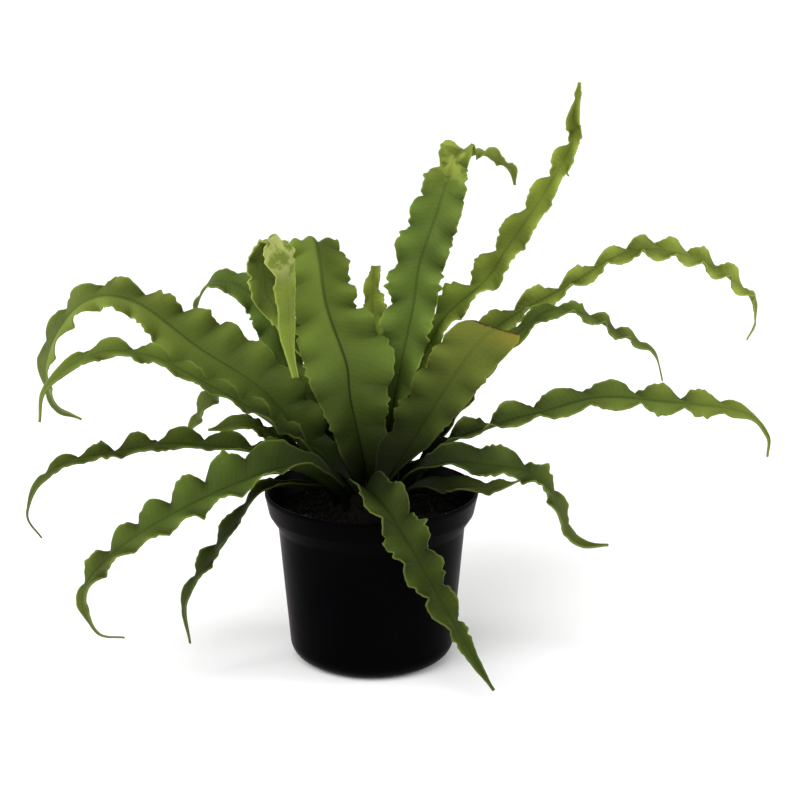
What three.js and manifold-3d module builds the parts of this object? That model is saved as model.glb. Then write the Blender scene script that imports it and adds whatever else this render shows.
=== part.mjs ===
// A potted fern with strap fronds and ruffled margins, in a plain nursery pot.
// Millimetres, +Z up. The origin is the middle of the pot's underside.

import * as THREE from 'three';
import { mergeVertices } from 'three/addons/utils/BufferGeometryUtils.js';
import Module from 'manifold-3d';

// Driving dimensions of the pot and of what it holds.
const POT_HEIGHT = 98;
const RIM_RADIUS = 60;
const RIM_EDGE = 1;
const BAND_RADIUS = 57.8;
const BAND_HEIGHT = 12;
const STEP_HEIGHT = 8;
const BODY_RADIUS = 52.6;
const FOOT_RADIUS = 46.6;
const FOOT_ROUND = 11;
const WALL = 1.6;
const FLOOR_THICKNESS = 2;
const FLOOR_ROUND = 0.6 * FOOT_ROUND;
const DRAIN_HOLES = 6;
const DRAIN_RADIUS = 4;
const DRAIN_CIRCLE = 29;
const POT_SIDES = 48;

const CLEARANCE = 0.3;
const SOCKET_GROWTH = 0.4;
const SOIL_LEVEL = 85;
const SOIL_MOUND = 2.5;
const CROWN_RADIUS = 27;
const CROWN_DEPTH = 18;
const CROWN_TOP = 97;
const CROWN_EDGE = 3;
const CROWN_SIDES = 24;

// Driving dimensions of every frond.
const BLADE_THICKNESS = 0.9;
const MIDRIB_EXTRA = 0.5;
const STALK_WIDTH = 5.6;
const STALK_THICKNESS = 3;
const STALK_EDGE = 1.8;
const STALK_FOOT = 84;
const STALK_LENGTH = 20;
const STALK_LEAN = 1.08;
const COLLAR_RISE = 2;
const TIP_WIDTH = 1.6;

// The ruffle of a margin: its pitch, how it drifts along the frond, how far it runs behind at the
// midrib, how it grows towards the margin, and the half width under which it gets smaller.
const WAVE_LENGTH = 23;
const STATIONS_PER_WAVE = 5;
const WAVE_DRIFT = 0.9;
const DRIFT_PITCH = 9;
const WAVE_LAG = 1.2;
const WAVE_GROWTH = 1.4;
const NARROW_HALF = 7;
const GATHER = 0.1;

// Each wave is a round lobe between two tighter notches: the level between them, the bluntness of a
// notch, the lobe's height for each millimetre of ruffle, and how far it stands out sideways.
const LOBE_MIDDLE = 0.55;
const LOBE_SOFTNESS = 0.05;
const LOBE_HEIGHT = 2;
const LOBE_REACH = 2.6;

// The waves differ in height along the frond, and die away before its tip.
const SWELL = 0.25;
const SWELL_PITCH = 15;
const CALM = [0.7, 0.92];
const CALM_SHARE = 0.8;

// Where along the frond a cut blade starts to slant towards its end.
const SLANT_START = 0.7;

// Angle of each half of the blade above flat at the stalk and farther on, in degrees, and how far
// along the frond it has opened out.
const FOLD = [50, 8, 0.6];

const LEAF_GREEN = 0x4d6b2a;
const LEAF_YOUNG = 0x7c8f35;
const LEAF_DARK = 0x2c4220;

/**
 * One row for each frond. All of a frond's route lies in or near one upright plane through the
 * pot's axis, turned by `az` degrees from +X.
 *   root   the stalk's foot in the crown: distance from the axis, and direction in degrees
 *   turn   degrees that the blade is turned about its midrib, at the foot and at the tip
 *   wave   height of the ruffle on the right and the left margin as seen from the foot, and the
 *          left one's phase in degrees
 *   width  places along the frond from 0 to 1, each with the blade's full width there
 *   route  points after the foot: reach along the plane, height, and sway sideways out of it
 *   slant  slope of a cut end, so that the right half is the longer one
 *   calm   places along the frond between which the ruffle dies away, and likewise pitch, the
 *          length of a wave, fold and tip, where a frond has its own
 */
const FRONDS = [
  { name: 'frond_left_great', az: 160, root: [10, 185], turn: [-35, -48], wave: [4, 5, 0], rows: 4,
    width: [[0.1, 21], [0.22, 40], [0.42, 46], [0.6, 22], [0.84, 21], [0.93, 12]],
    route: [[31, 113], [55, 140], [73, 154], [104, 170], [135, 190], [152, 196], [170, 195],
      [188, 182], [202, 158], [203, 138], [196, 126], [182, 121]] },
  { name: 'frond_left_narrow', az: 184, root: [15, 200], turn: [-20, -35], wave: [3.5, 3, 90],
    width: [[0.4, 13], [0.75, 13]],
    route: [[36, 123, 5], [62, 144, 6], [94, 163, 2], [121, 177], [147, 180], [167, 171],
      [180, 158], [183, 141]] },
  { name: 'frond_left_level', az: 188, root: [22, 180], turn: [-20, -10], wave: [4, 1.5, 40],
    width: [[0.45, 19], [0.75, 12]],
    route: [[46, 117], [79, 125], [112, 129], [145, 125], [170, 120], [185, 108], [191, 91], [184, 78]] },
  { name: 'frond_left_drooping', az: 208, root: [22, 224], turn: [-25, -10], wave: [4.5, 4, 150], rows: 4,
    width: [[0.08, 15], [0.2, 29], [0.36, 36], [0.55, 28], [0.72, 16], [0.85, 8]],
    route: [[50, 117], [83, 113], [119, 102], [148, 89], [167, 74], [172, 60], [164, 42], [150, 37]] },
  { name: 'frond_left_low', az: 200, root: [22, 202], turn: [-10, -10], wave: [3, 1.5, 200],
    width: [[0.4, 9], [0.62, 14], [0.8, 8]], leaf: LEAF_DARK,
    route: [[40, 104], [62, 105], [77, 91], [94, 69], [109, 46], [107, 20]] },
  { name: 'frond_back_left_hook', az: 150, root: [22, 137], turn: [-10, -55], wave: [3, 3, 20],
    width: [[0.5, 17], [0.82, 16]], leaf: LEAF_DARK, calm: [0.9, 1.1],
    route: [[38, 111], [58, 129], [76, 142], [93, 145], [107, 137], [119, 122], [127, 106]] },
  { name: 'frond_left_small', az: 172, root: [22, 158], turn: [0, -40], wave: [3, 3, 70],
    width: [[0.5, 14], [0.85, 10]], calm: [0.9, 1.1],
    route: [[49, 122], [69, 133], [93, 129]] },
  { name: 'frond_back_left_curled', az: 138, root: [15, 150], turn: [-30, -30], wave: [4, 4, 10],
    width: [[0.4, 24], [0.6, 27], [0.75, 20], [0.9, 15]], tip: 8,
    route: [[30, 117], [50, 138, 0], [69, 155, -4], [90, 181, -11], [108, 197, -6], [124, 199],
      [136, 190], [142, 178]] },
  { name: 'frond_folded_over', az: 125, root: [15, 119], turn: [0, 0], wave: [3, 3, 120],
    width: [[0.3, 15], [0.45, 17], [0.57, 26], [0.68, 21], [0.85, 12]], tip: 4, leaf: LEAF_YOUNG,
    route: [[30, 118, -4], [49, 150, -2], [62, 180, 14], [67, 200, 25], [68, 213, 27], [67, 227, 27],
      [61, 235, 26], [54, 229, 25], [48, 214, 25], [42, 191, 28], [37, 176, 30], [29, 161, 31]] },
  { name: 'frond_middle_broad', az: 100, root: [12, 102], turn: [0, 0], wave: [4.5, 4.5, 60], rows: 4,
    width: [[0.07, 24], [0.2, 42], [0.42, 57], [0.66, 41], [0.88, 32]], tip: 14, calm: [1.2, 1.3],
    fold: [46, -18, 0.8],
    route: [[16, 116, 3], [24, 144, 8], [29, 161, 9], [36, 173, 12], [45, 186, 16], [56, 198, 18],
      [68, 211, 18], [80, 224, 19], [94, 222, 21], [101, 207, 22]] },
  { name: 'frond_back_middle', az: 88, root: [15, 88], turn: [0, 0], wave: [4, 4, 170],
    width: [[0.6, 21]], tip: 6, leaf: LEAF_DARK, calm: [0.9, 1],
    route: [[30, 118, 1], [50, 150, 2], [70, 178, 2], [88, 195, 3], [102, 204, 2]] },
  { name: 'frond_tall_middle', az: 76, root: [15, 58], turn: [0, 0], wave: [4.5, 4.5, 30], rows: 4,
    width: [[0.13, 21], [0.35, 34], [0.52, 34], [0.64, 31], [0.77, 20], [0.84, 12], [0.93, 8]],
    calm: [0.85, 1],
    route: [[24, 119, -3], [39, 153, -6], [53, 190, -11], [62, 215, -13], [74, 242, -20], [93, 268, -25],
      [104, 274, -27], [112, 272, -33], [122, 268, -42], [135, 260, -51], [142, 249, -52]] },
  { name: 'frond_tall_right', az: 54, root: [22, 54], turn: [10, 10], wave: [5, 5, 80], pitch: 31,
    width: [[0.35, 22], [0.6, 20], [0.8, 13], [0.92, 8], [0.97, 5]], leaf: LEAF_YOUNG, calm: [0.95, 1.1],
    route: [[34, 116, 6], [46, 135, 8], [59, 157, 8], [77, 181, 4], [107, 199, -4], [134, 217, -4],
      [166, 238, -4], [203, 261, 0], [214, 272, 2], [210, 283], [215, 304]] },
  { name: 'frond_right_broad_cut', az: 32, root: [10, 308], turn: [25, 45], wave: [3, 4, 0], rows: 4,
    width: [[0.12, 15], [0.3, 33], [0.55, 39], [0.85, 38]], tip: 29, fold: [42, 10, 0.9], slant: 0.6,
    leaf: LEAF_YOUNG,
    route: [[24, 123, -6], [42, 144, -4], [58, 160, -1], [73, 173, 1], [84, 180, 0]] },
  { name: 'frond_right_arch_high', az: 38, root: [22, 32], turn: [0, 45], wave: [-4, 5, 60], pitch: 29,
    width: [[0.36, 17], [0.46, 11], [0.55, 10], [0.68, 19], [0.8, 18], [0.9, 13], [0.96, 7]],
    calm: [0.85, 1],
    route: [[34, 112, 6], [60, 140, 15], [103, 173, 13], [148, 194, 2], [196, 209], [248, 199],
      [298, 171], [309, 150], [302, 138]] },
  { name: 'frond_right_arch_small', az: 30, root: [22, 10], turn: [0, 35], wave: [-3, 3.5, 110],
    width: [[0.5, 12], [0.8, 12]], calm: [0.85, 1],
    route: [[38, 111, 0], [62, 132, 8], [92, 162, 13], [118, 185, 4], [136, 184], [152, 177],
      [167, 168], [187, 157], [196, 149], [201, 134]] },
  { name: 'frond_right_level', az: 5, root: [22, 348], turn: [15, 40], wave: [-2.5, 4, 10], pitch: 26,
    width: [[0.2, 13], [0.45, 20], [0.7, 18], [0.83, 13], [0.91, 4]], calm: [0.75, 0.9],
    route: [[39, 121, 0], [72, 134, 0], [95, 140], [128, 148], [163, 145], [209, 138], [225, 124],
      [226, 111]] },
  { name: 'frond_right_low_arch', az: 345, root: [15, 330], turn: [40, 10], wave: [3.5, 2.5, 60],
    width: [[0.2, 16], [0.45, 26], [0.68, 14], [0.9, 8]],
    route: [[40, 116], [68, 117], [89, 115], [103, 104], [112, 83], [121, 76], [135, 77]] },
  { name: 'frond_right_inside_rim', az: 330, root: [22, 316], turn: [20, 10], wave: [3, 2, 90],
    width: [[0.4, 18], [0.8, 15]], leaf: LEAF_DARK,
    route: [[40, 104], [62, 109], [82, 112], [93, 118]] },
  { name: 'frond_front_hanging', az: 296, root: [15, 274], turn: [10, 0], wave: [-3.5, 3.5, 20], rows: 4,
    width: [[0.2, 27], [0.35, 28], [0.53, 24], [0.66, 17], [0.82, 8]],
    route: [[21, 105, -14], [38, 107, -16], [58, 104, -17], [71, 95, -15], [80, 83, -11], [90, 63, -3],
      [96, 46, 5], [101, 29, 13], [102, 11, 24]] },
  { name: 'frond_back_right', az: 70, root: [22, 76], turn: [0, 0], wave: [4, 4, 100],
    width: [[0.22, 14], [0.45, 36], [0.75, 26]], leaf: LEAF_DARK, fold: [20, 8, 0.5],
    route: [[42, 109, -2], [68, 125, -4], [97, 135, -4], [126, 132, -3], [148, 112]] },
  { name: 'frond_back_centre', az: 97, root: [22, 96], turn: [0, 0], wave: [4, 4, 10],
    width: [[0.5, 26]], leaf: LEAF_DARK,
    route: [[42, 114], [68, 133], [100, 146], [134, 142], [158, 120]] },
  { name: 'frond_back_left', az: 120, root: [22, 116], turn: [0, 0], wave: [4, 4, 140],
    width: [[0.5, 22]], leaf: LEAF_DARK,
    route: [[42, 111], [68, 128], [96, 137], [126, 131], [146, 108]] },
];

const wasm = await Module();
wasm.setup();

const fern = new THREE.Group();

/** Adds one sub-part to the model in its own colour. */
function addPart(name, geometry, color, roughness, metalness = 0) {
  const material = new THREE.MeshStandardMaterial({ color, roughness, metalness });
  const mesh = new THREE.Mesh(geometry, material);
  mesh.name = name;
  fern.add(mesh);
}

/** A closed geometry as a solid that can be joined and cut. */
function toSolid(geometry) {
  const bare = geometry.index ? geometry.clone() : geometry;
  bare.deleteAttribute('normal');
  bare.deleteAttribute('uv');
  const merged = mergeVertices(bare, 1e-4);
  return new wasm.Manifold(new wasm.Mesh({
    numProp: 3,
    vertProperties: merged.attributes.position.array,
    triVerts: new Uint32Array(merged.index.array),
  }));
}

/** A solid as a geometry again. */
function toGeometry(solid) {
  const mesh = solid.getMesh();
  const geometry = new THREE.BufferGeometry();
  geometry.setAttribute('position', new THREE.BufferAttribute(mesh.vertProperties, 3));
  geometry.setIndex(new THREE.BufferAttribute(mesh.triVerts, 1));
  return geometry;
}

/** Points of an arc in the profile plane, from one angle to another, in degrees. */
function arc(cx, cy, radius, from, to, steps) {
  return Array.from({ length: steps + 1 }, (_, i) => {
    const a = THREE.MathUtils.degToRad(from + ((to - from) * i) / steps);
    return new THREE.Vector2(cx + radius * Math.cos(a), cy + radius * Math.sin(a));
  });
}

/** A profile turned about the Z axis. */
function turned(profile, sides) {
  const geometry = new THREE.LatheGeometry(profile, sides);
  geometry.rotateX(Math.PI / 2);
  return geometry;
}

/** Radius of the pot's outer wall at a height. */
function potRadius(z) {
  const stepTop = POT_HEIGHT - BAND_HEIGHT;
  const stepFoot = stepTop - STEP_HEIGHT;
  if (z >= stepTop) return THREE.MathUtils.mapLinear(z, stepTop, POT_HEIGHT, BAND_RADIUS, RIM_RADIUS);
  if (z >= stepFoot) return THREE.MathUtils.mapLinear(z, stepFoot, stepTop, BODY_RADIUS, BAND_RADIUS);
  return THREE.MathUtils.mapLinear(z, FOOT_ROUND, stepFoot, FOOT_RADIUS, BODY_RADIUS);
}

/** The thin-walled pot, open at the top, with drain holes in its floor. */
function buildPot() {
  const v = (x, y) => new THREE.Vector2(x, y);
  const stepTop = POT_HEIGHT - BAND_HEIGHT;
  const stepFoot = stepTop - STEP_HEIGHT;
  const profile = [
    v(0, 0),
    ...arc(FOOT_RADIUS - FOOT_ROUND, FOOT_ROUND, FOOT_ROUND, -90, 0, 4),
    v(BODY_RADIUS, stepFoot),
    v(BAND_RADIUS, stepTop),
    v(RIM_RADIUS, POT_HEIGHT - RIM_EDGE),
    v(RIM_RADIUS - 0.4 * RIM_EDGE, POT_HEIGHT),
    v(RIM_RADIUS - WALL, POT_HEIGHT),
    v(BAND_RADIUS - WALL, stepTop),
    v(BODY_RADIUS - WALL, stepFoot),
    v(potRadius(FOOT_ROUND) - WALL, FOOT_ROUND),
    v(FOOT_RADIUS - FLOOR_ROUND, FLOOR_THICKNESS),
    v(0, FLOOR_THICKNESS),
  ];
  let pot = toSolid(turned(profile, POT_SIDES));
  for (let i = 0; i < DRAIN_HOLES; i += 1) {
    const hole = new THREE.CylinderGeometry(DRAIN_RADIUS, DRAIN_RADIUS, 4 * FLOOR_THICKNESS, 12);
    hole.rotateX(Math.PI / 2);
    const a = (2 * Math.PI * i) / DRAIN_HOLES;
    hole.translate(DRAIN_CIRCLE * Math.cos(a), DRAIN_CIRCLE * Math.sin(a), 0);
    pot = pot.subtract(toSolid(hole));
  }
  return toGeometry(pot);
}

/** The potting mix, with a plain hole for the crown. */
function buildSoil() {
  const v = (x, y) => new THREE.Vector2(x, y);
  const inner = (z) => potRadius(z) - WALL - CLEARANCE;
  const stepFoot = POT_HEIGHT - BAND_HEIGHT - STEP_HEIGHT;
  const socket = CROWN_RADIUS + CLEARANCE;
  const socketFoot = SOIL_LEVEL - CROWN_DEPTH - CLEARANCE;
  const profile = [
    v(0, FLOOR_THICKNESS + CLEARANCE),
    v(FOOT_RADIUS - FLOOR_ROUND - 1, FLOOR_THICKNESS + CLEARANCE),
    v(inner(FOOT_ROUND), FOOT_ROUND),
    v(inner(stepFoot), stepFoot),
    v(inner(SOIL_LEVEL) - 0.4, SOIL_LEVEL),
    v(inner(SOIL_LEVEL) - 6, SOIL_LEVEL + 0.8),
    v(socket + 6, SOIL_LEVEL + SOIL_MOUND),
    v(socket, SOIL_LEVEL + SOIL_MOUND),
    v(socket, socketFoot),
    v(0, socketFoot),
  ];
  return turned(profile, POT_SIDES);
}

/** Route of a frond's midrib through space, from its foot in the crown to its tip. */
function midrib(frond) {
  const plane = THREE.MathUtils.degToRad(frond.az);
  const along = new THREE.Vector3(Math.cos(plane), Math.sin(plane), 0);
  const aside = new THREE.Vector3(-Math.sin(plane), Math.cos(plane), 0);
  const place = ([reach, height, sway = 0]) => new THREE.Vector3(0, 0, height)
    .addScaledVector(along, reach)
    .addScaledVector(aside, sway);
  const direction = THREE.MathUtils.degToRad(frond.root[1]);
  const foot = new THREE.Vector3(
    frond.root[0] * Math.cos(direction),
    frond.root[0] * Math.sin(direction),
    STALK_FOOT,
  );
  const collar = foot.clone().multiplyScalar(STALK_LEAN).setZ(CROWN_TOP + COLLAR_RISE);
  const points = [foot, collar, ...frond.route.map(place)];
  return { curve: new THREE.CatmullRomCurve3(points, false, 'catmullrom', 0.5), aside };
}

/** Smooth step from 0 to 1 between two places along the frond. */
function ease(s, from, to) {
  return THREE.MathUtils.smoothstep(s, from, to);
}

/** Half of the blade's width at a place from 0, the foot, to 1, the tip. */
function halfWidth(frond, s, stalk) {
  const places = [[stalk, STALK_WIDTH], ...frond.width, [1, frond.tip ?? TIP_WIDTH]];
  const next = places.findIndex(([place]) => s < place);
  if (next === 0) return STALK_WIDTH / 2;
  if (next < 0) return places.at(-1)[1] / 2;
  const [from, before] = places[next - 1];
  const [to, after] = places[next];
  const share = next === 1 ? Math.sin((Math.PI / 2) * ((s - from) / (to - from))) : ease(s, from, to);
  return THREE.MathUtils.lerp(before, after, share) / 2;
}

/** Thickness at a place along the frond, and across it: 0 at the midrib and 1 at the margin. */
function thickness(s, across, stalk) {
  const leafy = ease(s, 0.6 * stalk, 2 * stalk);
  const rib = BLADE_THICKNESS + MIDRIB_EXTRA * (1 - s);
  const middle = THREE.MathUtils.lerp(STALK_THICKNESS, rib, leafy);
  const edge = THREE.MathUtils.lerp(STALK_EDGE, BLADE_THICKNESS, leafy);
  return THREE.MathUtils.lerp(middle, edge, Math.min(1, across * 1.5));
}

/** Height of a row of round lobes with tight notches between them, about 0 on average. */
function roundLobe(theta) {
  return Math.hypot(Math.sin(theta / 2), LOBE_SOFTNESS) - LOBE_MIDDLE;
}

/** The curved, waved surface that runs through the middle of one frond. */
class Blade {
  constructor(frond) {
    this.frond = frond;
    const { curve, aside } = midrib(frond);
    this.curve = curve;
    this.aside = aside;
    this.length = curve.getLength();
    this.stalk = STALK_LENGTH / this.length;
    this.waveLength = frond.pitch ?? WAVE_LENGTH;
  }

  /** Ruffle phase of the margin at a place along the frond, in radians. */
  phase(s) {
    const drift = WAVE_DRIFT * Math.sin(DRIFT_PITCH * s + this.frond.az);
    return (2 * Math.PI * s * this.length) / this.waveLength + drift;
  }

  /** Strength of the ruffle at a place along the frond where the blade has this half width. */
  ruffle(s, half) {
    const { stalk } = this;
    const swell = 1 + SWELL * Math.sin(SWELL_PITCH * s + 2 * this.frond.az);
    const calm = 1 - CALM_SHARE * ease(s, ...(this.frond.calm ?? CALM));
    return ease(s, 1.2 * stalk, 3.2 * stalk) * Math.min(1, half / NARROW_HALF) * swell * calm;
  }

  /** A point of the surface; v runs from -1 at one margin to 1 at the other. */
  point(s, v) {
    const { frond, length, stalk } = this;
    const q = Math.abs(v);
    const side = Math.sign(v);
    const centre = this.curve.getPointAt(s);
    const ahead = this.curve.getTangentAt(s);
    const across = this.aside.clone().addScaledVector(ahead, -this.aside.dot(ahead)).normalize();
    const up = new THREE.Vector3().crossVectors(ahead, across);
    const turn = THREE.MathUtils.degToRad(THREE.MathUtils.lerp(...frond.turn, s) * ease(s, 0, 3 * stalk));
    across.applyAxisAngle(ahead, turn);
    up.applyAxisAngle(ahead, turn);
    const half = halfWidth(frond, s, stalk);
    const [steep, flat, open] = frond.fold ?? FOLD;
    const lift = THREE.MathUtils.degToRad(THREE.MathUtils.lerp(steep, flat, ease(s, stalk, open)));
    const growth = this.ruffle(s, half);
    const [right, left, offset] = frond.wave;
    const wave = (side > 0 ? left : right) * growth * q ** WAVE_GROWTH;
    const lead = side > 0 ? THREE.MathUtils.degToRad(offset) : 0;
    const lobe = roundLobe(this.phase(s) + lead - WAVE_LAG * (1 - q));
    const reach = half * q * (1 - GATHER * growth) + LOBE_REACH * growth * q * q * lobe;
    return centre
      .addScaledVector(ahead, -side * reach * (frond.slant ?? 0) * ease(s, SLANT_START, 1))
      .addScaledVector(across, side * reach * Math.cos(lift))
      .addScaledVector(up, reach * Math.sin(lift) + LOBE_HEIGHT * wave * lobe);
  }

  /** The surface's upward direction at a point. */
  normal(s, v) {
    const ds = 1.5 / this.length;
    const dv = 0.12;
    const s0 = Math.max(0, s - ds);
    const s1 = Math.min(1, s + ds);
    const v0 = Math.max(-1, v - dv);
    const v1 = Math.min(1, v + dv);
    const along = this.point(s1, v).sub(this.point(s0, v));
    const across = this.point(s, v1).sub(this.point(s, v0));
    return along.cross(across).normalize();
  }

  /** Places along the frond where its cross-section is drawn. */
  stations() {
    const places = [0, 0.5 * this.stalk, this.stalk, 1.6 * this.stalk];
    const step = this.waveLength / STATIONS_PER_WAVE / this.length;
    const count = Math.round((1 - 2.2 * this.stalk) / step);
    for (let i = 0; i <= count; i += 1) {
      places.push(THREE.MathUtils.lerp(2.2 * this.stalk, 1, i / count));
    }
    return places;
  }

  /** The closed solid of the blade, grown outwards by a margin where it is to cut a socket. */
  solid(rows, places = this.stations(), grow = 0) {
    const positions = [];
    const index = [];
    const columns = rows + 1;
    const ring = 2 * columns;
    for (const s of places) {
      for (const face of [1, -1]) {
        for (let c = 0; c < columns; c += 1) {
          const v = -1 + (2 * c) / rows;
          const offset = thickness(s, Math.abs(v), this.stalk) / 2 + grow;
          const p = this.point(s, v).addScaledVector(this.normal(s, v), face * offset);
          if (grow && Math.abs(v) === 1) p.add(this.point(s, v).sub(this.point(s, 0)).setLength(grow));
          if (s === 0) p.addScaledVector(this.curve.getTangentAt(0), -grow);
          positions.push(p.x, p.y, p.z);
        }
      }
    }
    const quad = (a, b, c, d) => index.push(a, b, c, a, c, d);
    for (let i = 0; i + 1 < places.length; i += 1) {
      const near = i * ring;
      const far = near + ring;
      for (let c = 0; c < rows; c += 1) {
        quad(near + c, far + c, far + c + 1, near + c + 1);
        const low = columns + c;
        index.push(near + low, far + low + 1, far + low, near + low, near + low + 1, far + low + 1);
      }
      quad(near, near + columns, far + columns, far);
      quad(near + rows, far + rows, far + rows + columns, near + rows + columns);
    }
    const last = (places.length - 1) * ring;
    for (let c = 0; c < rows; c += 1) {
      quad(c, c + 1, columns + c + 1, columns + c);
      quad(last + c, last + columns + c, last + columns + c + 1, last + c + 1);
    }
    const geometry = new THREE.BufferGeometry();
    geometry.setAttribute('position', new THREE.Float32BufferAttribute(positions, 3));
    geometry.setIndex(index);
    return geometry;
  }
}

/** The crown that the stalks grow out of, with a plain hole for each of them. */
function buildCrown(blades) {
  const v = (x, y) => new THREE.Vector2(x, y);
  const foot = SOIL_LEVEL - CROWN_DEPTH;
  const profile = [
    v(0, foot),
    v(CROWN_RADIUS - CROWN_EDGE, foot),
    v(CROWN_RADIUS, foot + CROWN_EDGE),
    v(CROWN_RADIUS, SOIL_LEVEL + SOIL_MOUND),
    v(0.8 * CROWN_RADIUS, CROWN_TOP - CROWN_EDGE),
    v(0.4 * CROWN_RADIUS, CROWN_TOP),
    v(0, CROWN_TOP),
  ];
  let crown = toSolid(turned(profile, CROWN_SIDES));
  for (const blade of blades) {
    const geometry = blade.solid(2, blade.stations().slice(0, 4), SOCKET_GROWTH);
    crown = crown.subtract(toSolid(geometry));
  }
  return toGeometry(crown);
}

const blades = FRONDS.map((frond) => new Blade(frond));

addPart('pot', buildPot(), 0x141314, 0.35);
addPart('soil', buildSoil(), 0x2a211a, 0.95);
addPart('crown', buildCrown(blades), 0x2b2418, 0.85);
blades.forEach((blade) => {
  const { name, rows = 2, leaf = LEAF_GREEN } = blade.frond;
  addPart(name, blade.solid(rows), leaf, 0.5);
});

export default fern;
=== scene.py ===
"""A potted fern with strap fronds and ruffled margins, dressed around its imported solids.

Every piece is in metres in the row frame: +Z up, the origin under the middle of the pot, and -Y
towards the viewer of the photo. The fronds are drawn from the same routes and widths as their
solids, with finer ruffles, veins and finishes.
"""

import logging
import math
import random
from dataclasses import dataclass, field, replace
from enum import Enum

import bmesh
import bpy
import numpy as np
from mathutils import Matrix, Vector, noise


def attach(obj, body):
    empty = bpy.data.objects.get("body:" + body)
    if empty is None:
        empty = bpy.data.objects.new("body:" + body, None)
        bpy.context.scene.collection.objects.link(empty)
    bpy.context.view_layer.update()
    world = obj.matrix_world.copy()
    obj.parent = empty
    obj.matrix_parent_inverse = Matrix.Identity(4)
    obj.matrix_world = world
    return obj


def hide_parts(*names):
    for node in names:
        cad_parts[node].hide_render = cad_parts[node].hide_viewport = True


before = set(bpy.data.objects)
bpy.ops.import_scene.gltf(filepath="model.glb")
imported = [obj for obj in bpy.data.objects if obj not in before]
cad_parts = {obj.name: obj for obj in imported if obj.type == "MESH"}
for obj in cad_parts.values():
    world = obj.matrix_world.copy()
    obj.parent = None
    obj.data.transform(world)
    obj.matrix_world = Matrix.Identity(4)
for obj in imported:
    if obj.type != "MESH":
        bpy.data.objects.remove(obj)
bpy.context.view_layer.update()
MM = 0.001
BODY = "root"
log = logging.getLogger("fern")

Socket = bpy.types.NodeSocket
Tone = tuple[float, float, float]
Band = tuple[float, float, float, float]


def srgb(red: float, green: float, blue: float) -> tuple[float, float, float, float]:
    """Makes a colour linear.

    Args:
        red: its red as seen on a screen, from 0 to 255.
        green: its green.
        blue: its blue.

    Returns:
        The linear colour, opaque.
    """

    def linear(value: float) -> float:
        """One channel made linear."""
        share = value / 255
        return share / 12.92 if share <= 0.04045 else ((share + 0.055) / 1.055) ** 2.4

    return (linear(red), linear(green), linear(blue), 1.0)


def ease(share: np.ndarray, start: float, end: float) -> np.ndarray:
    """Smooth step from 0 at start to 1 at end."""
    t = np.clip((share - start) / (end - start), 0.0, 1.0)
    return t * t * (3.0 - 2.0 * t)


def around(radius: float, angle: float, height: float) -> Vector:
    """The place at a distance from the pot's axis, an angle in radians and a height."""
    return Vector((radius * math.cos(angle), radius * math.sin(angle), height))


def soften(mesh: bmesh.types.BMesh) -> None:
    """Shades every face smoothly."""
    for face in mesh.faces:
        face.smooth = True


def as_data(mesh: bmesh.types.BMesh, name: str) -> bpy.types.Mesh:
    """Turns a bmesh into mesh data, and frees it.

    Args:
        mesh: the modelled shape.
        name: the data's name.

    Returns:
        The mesh data.
    """
    data = bpy.data.meshes.new(name)
    mesh.to_mesh(data)
    mesh.free()
    return data


def placed(name: str, data: bpy.types.ID) -> bpy.types.Object:
    """Puts a new object into the scene.

    Args:
        name: the object's name.
        data: its mesh, light or camera.

    Returns:
        The linked object.
    """
    item = bpy.data.objects.new(name, data)
    bpy.context.scene.collection.objects.link(item)
    return item


def piece_from(mesh: bmesh.types.BMesh, name: str, materials: list[bpy.types.Material],
               replaces: str | None) -> bpy.types.Object:
    """Turns a finished bmesh into a shown piece that rides on the plant.

    Args:
        mesh: the modelled shape, in metres in the row frame; it is freed here.
        name: the piece's name.
        materials: finishes for the mesh's material indices.
        replaces: the solid that the piece stands for, if any.

    Returns:
        The linked object.
    """
    data = as_data(mesh, name)
    for material in materials:
        data.materials.append(material)
    piece = placed(name, data)
    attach(piece, BODY)
    if replaces:
        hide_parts(replaces)
    log.info("%s: %d faces", name, len(data.polygons))
    return piece


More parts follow.
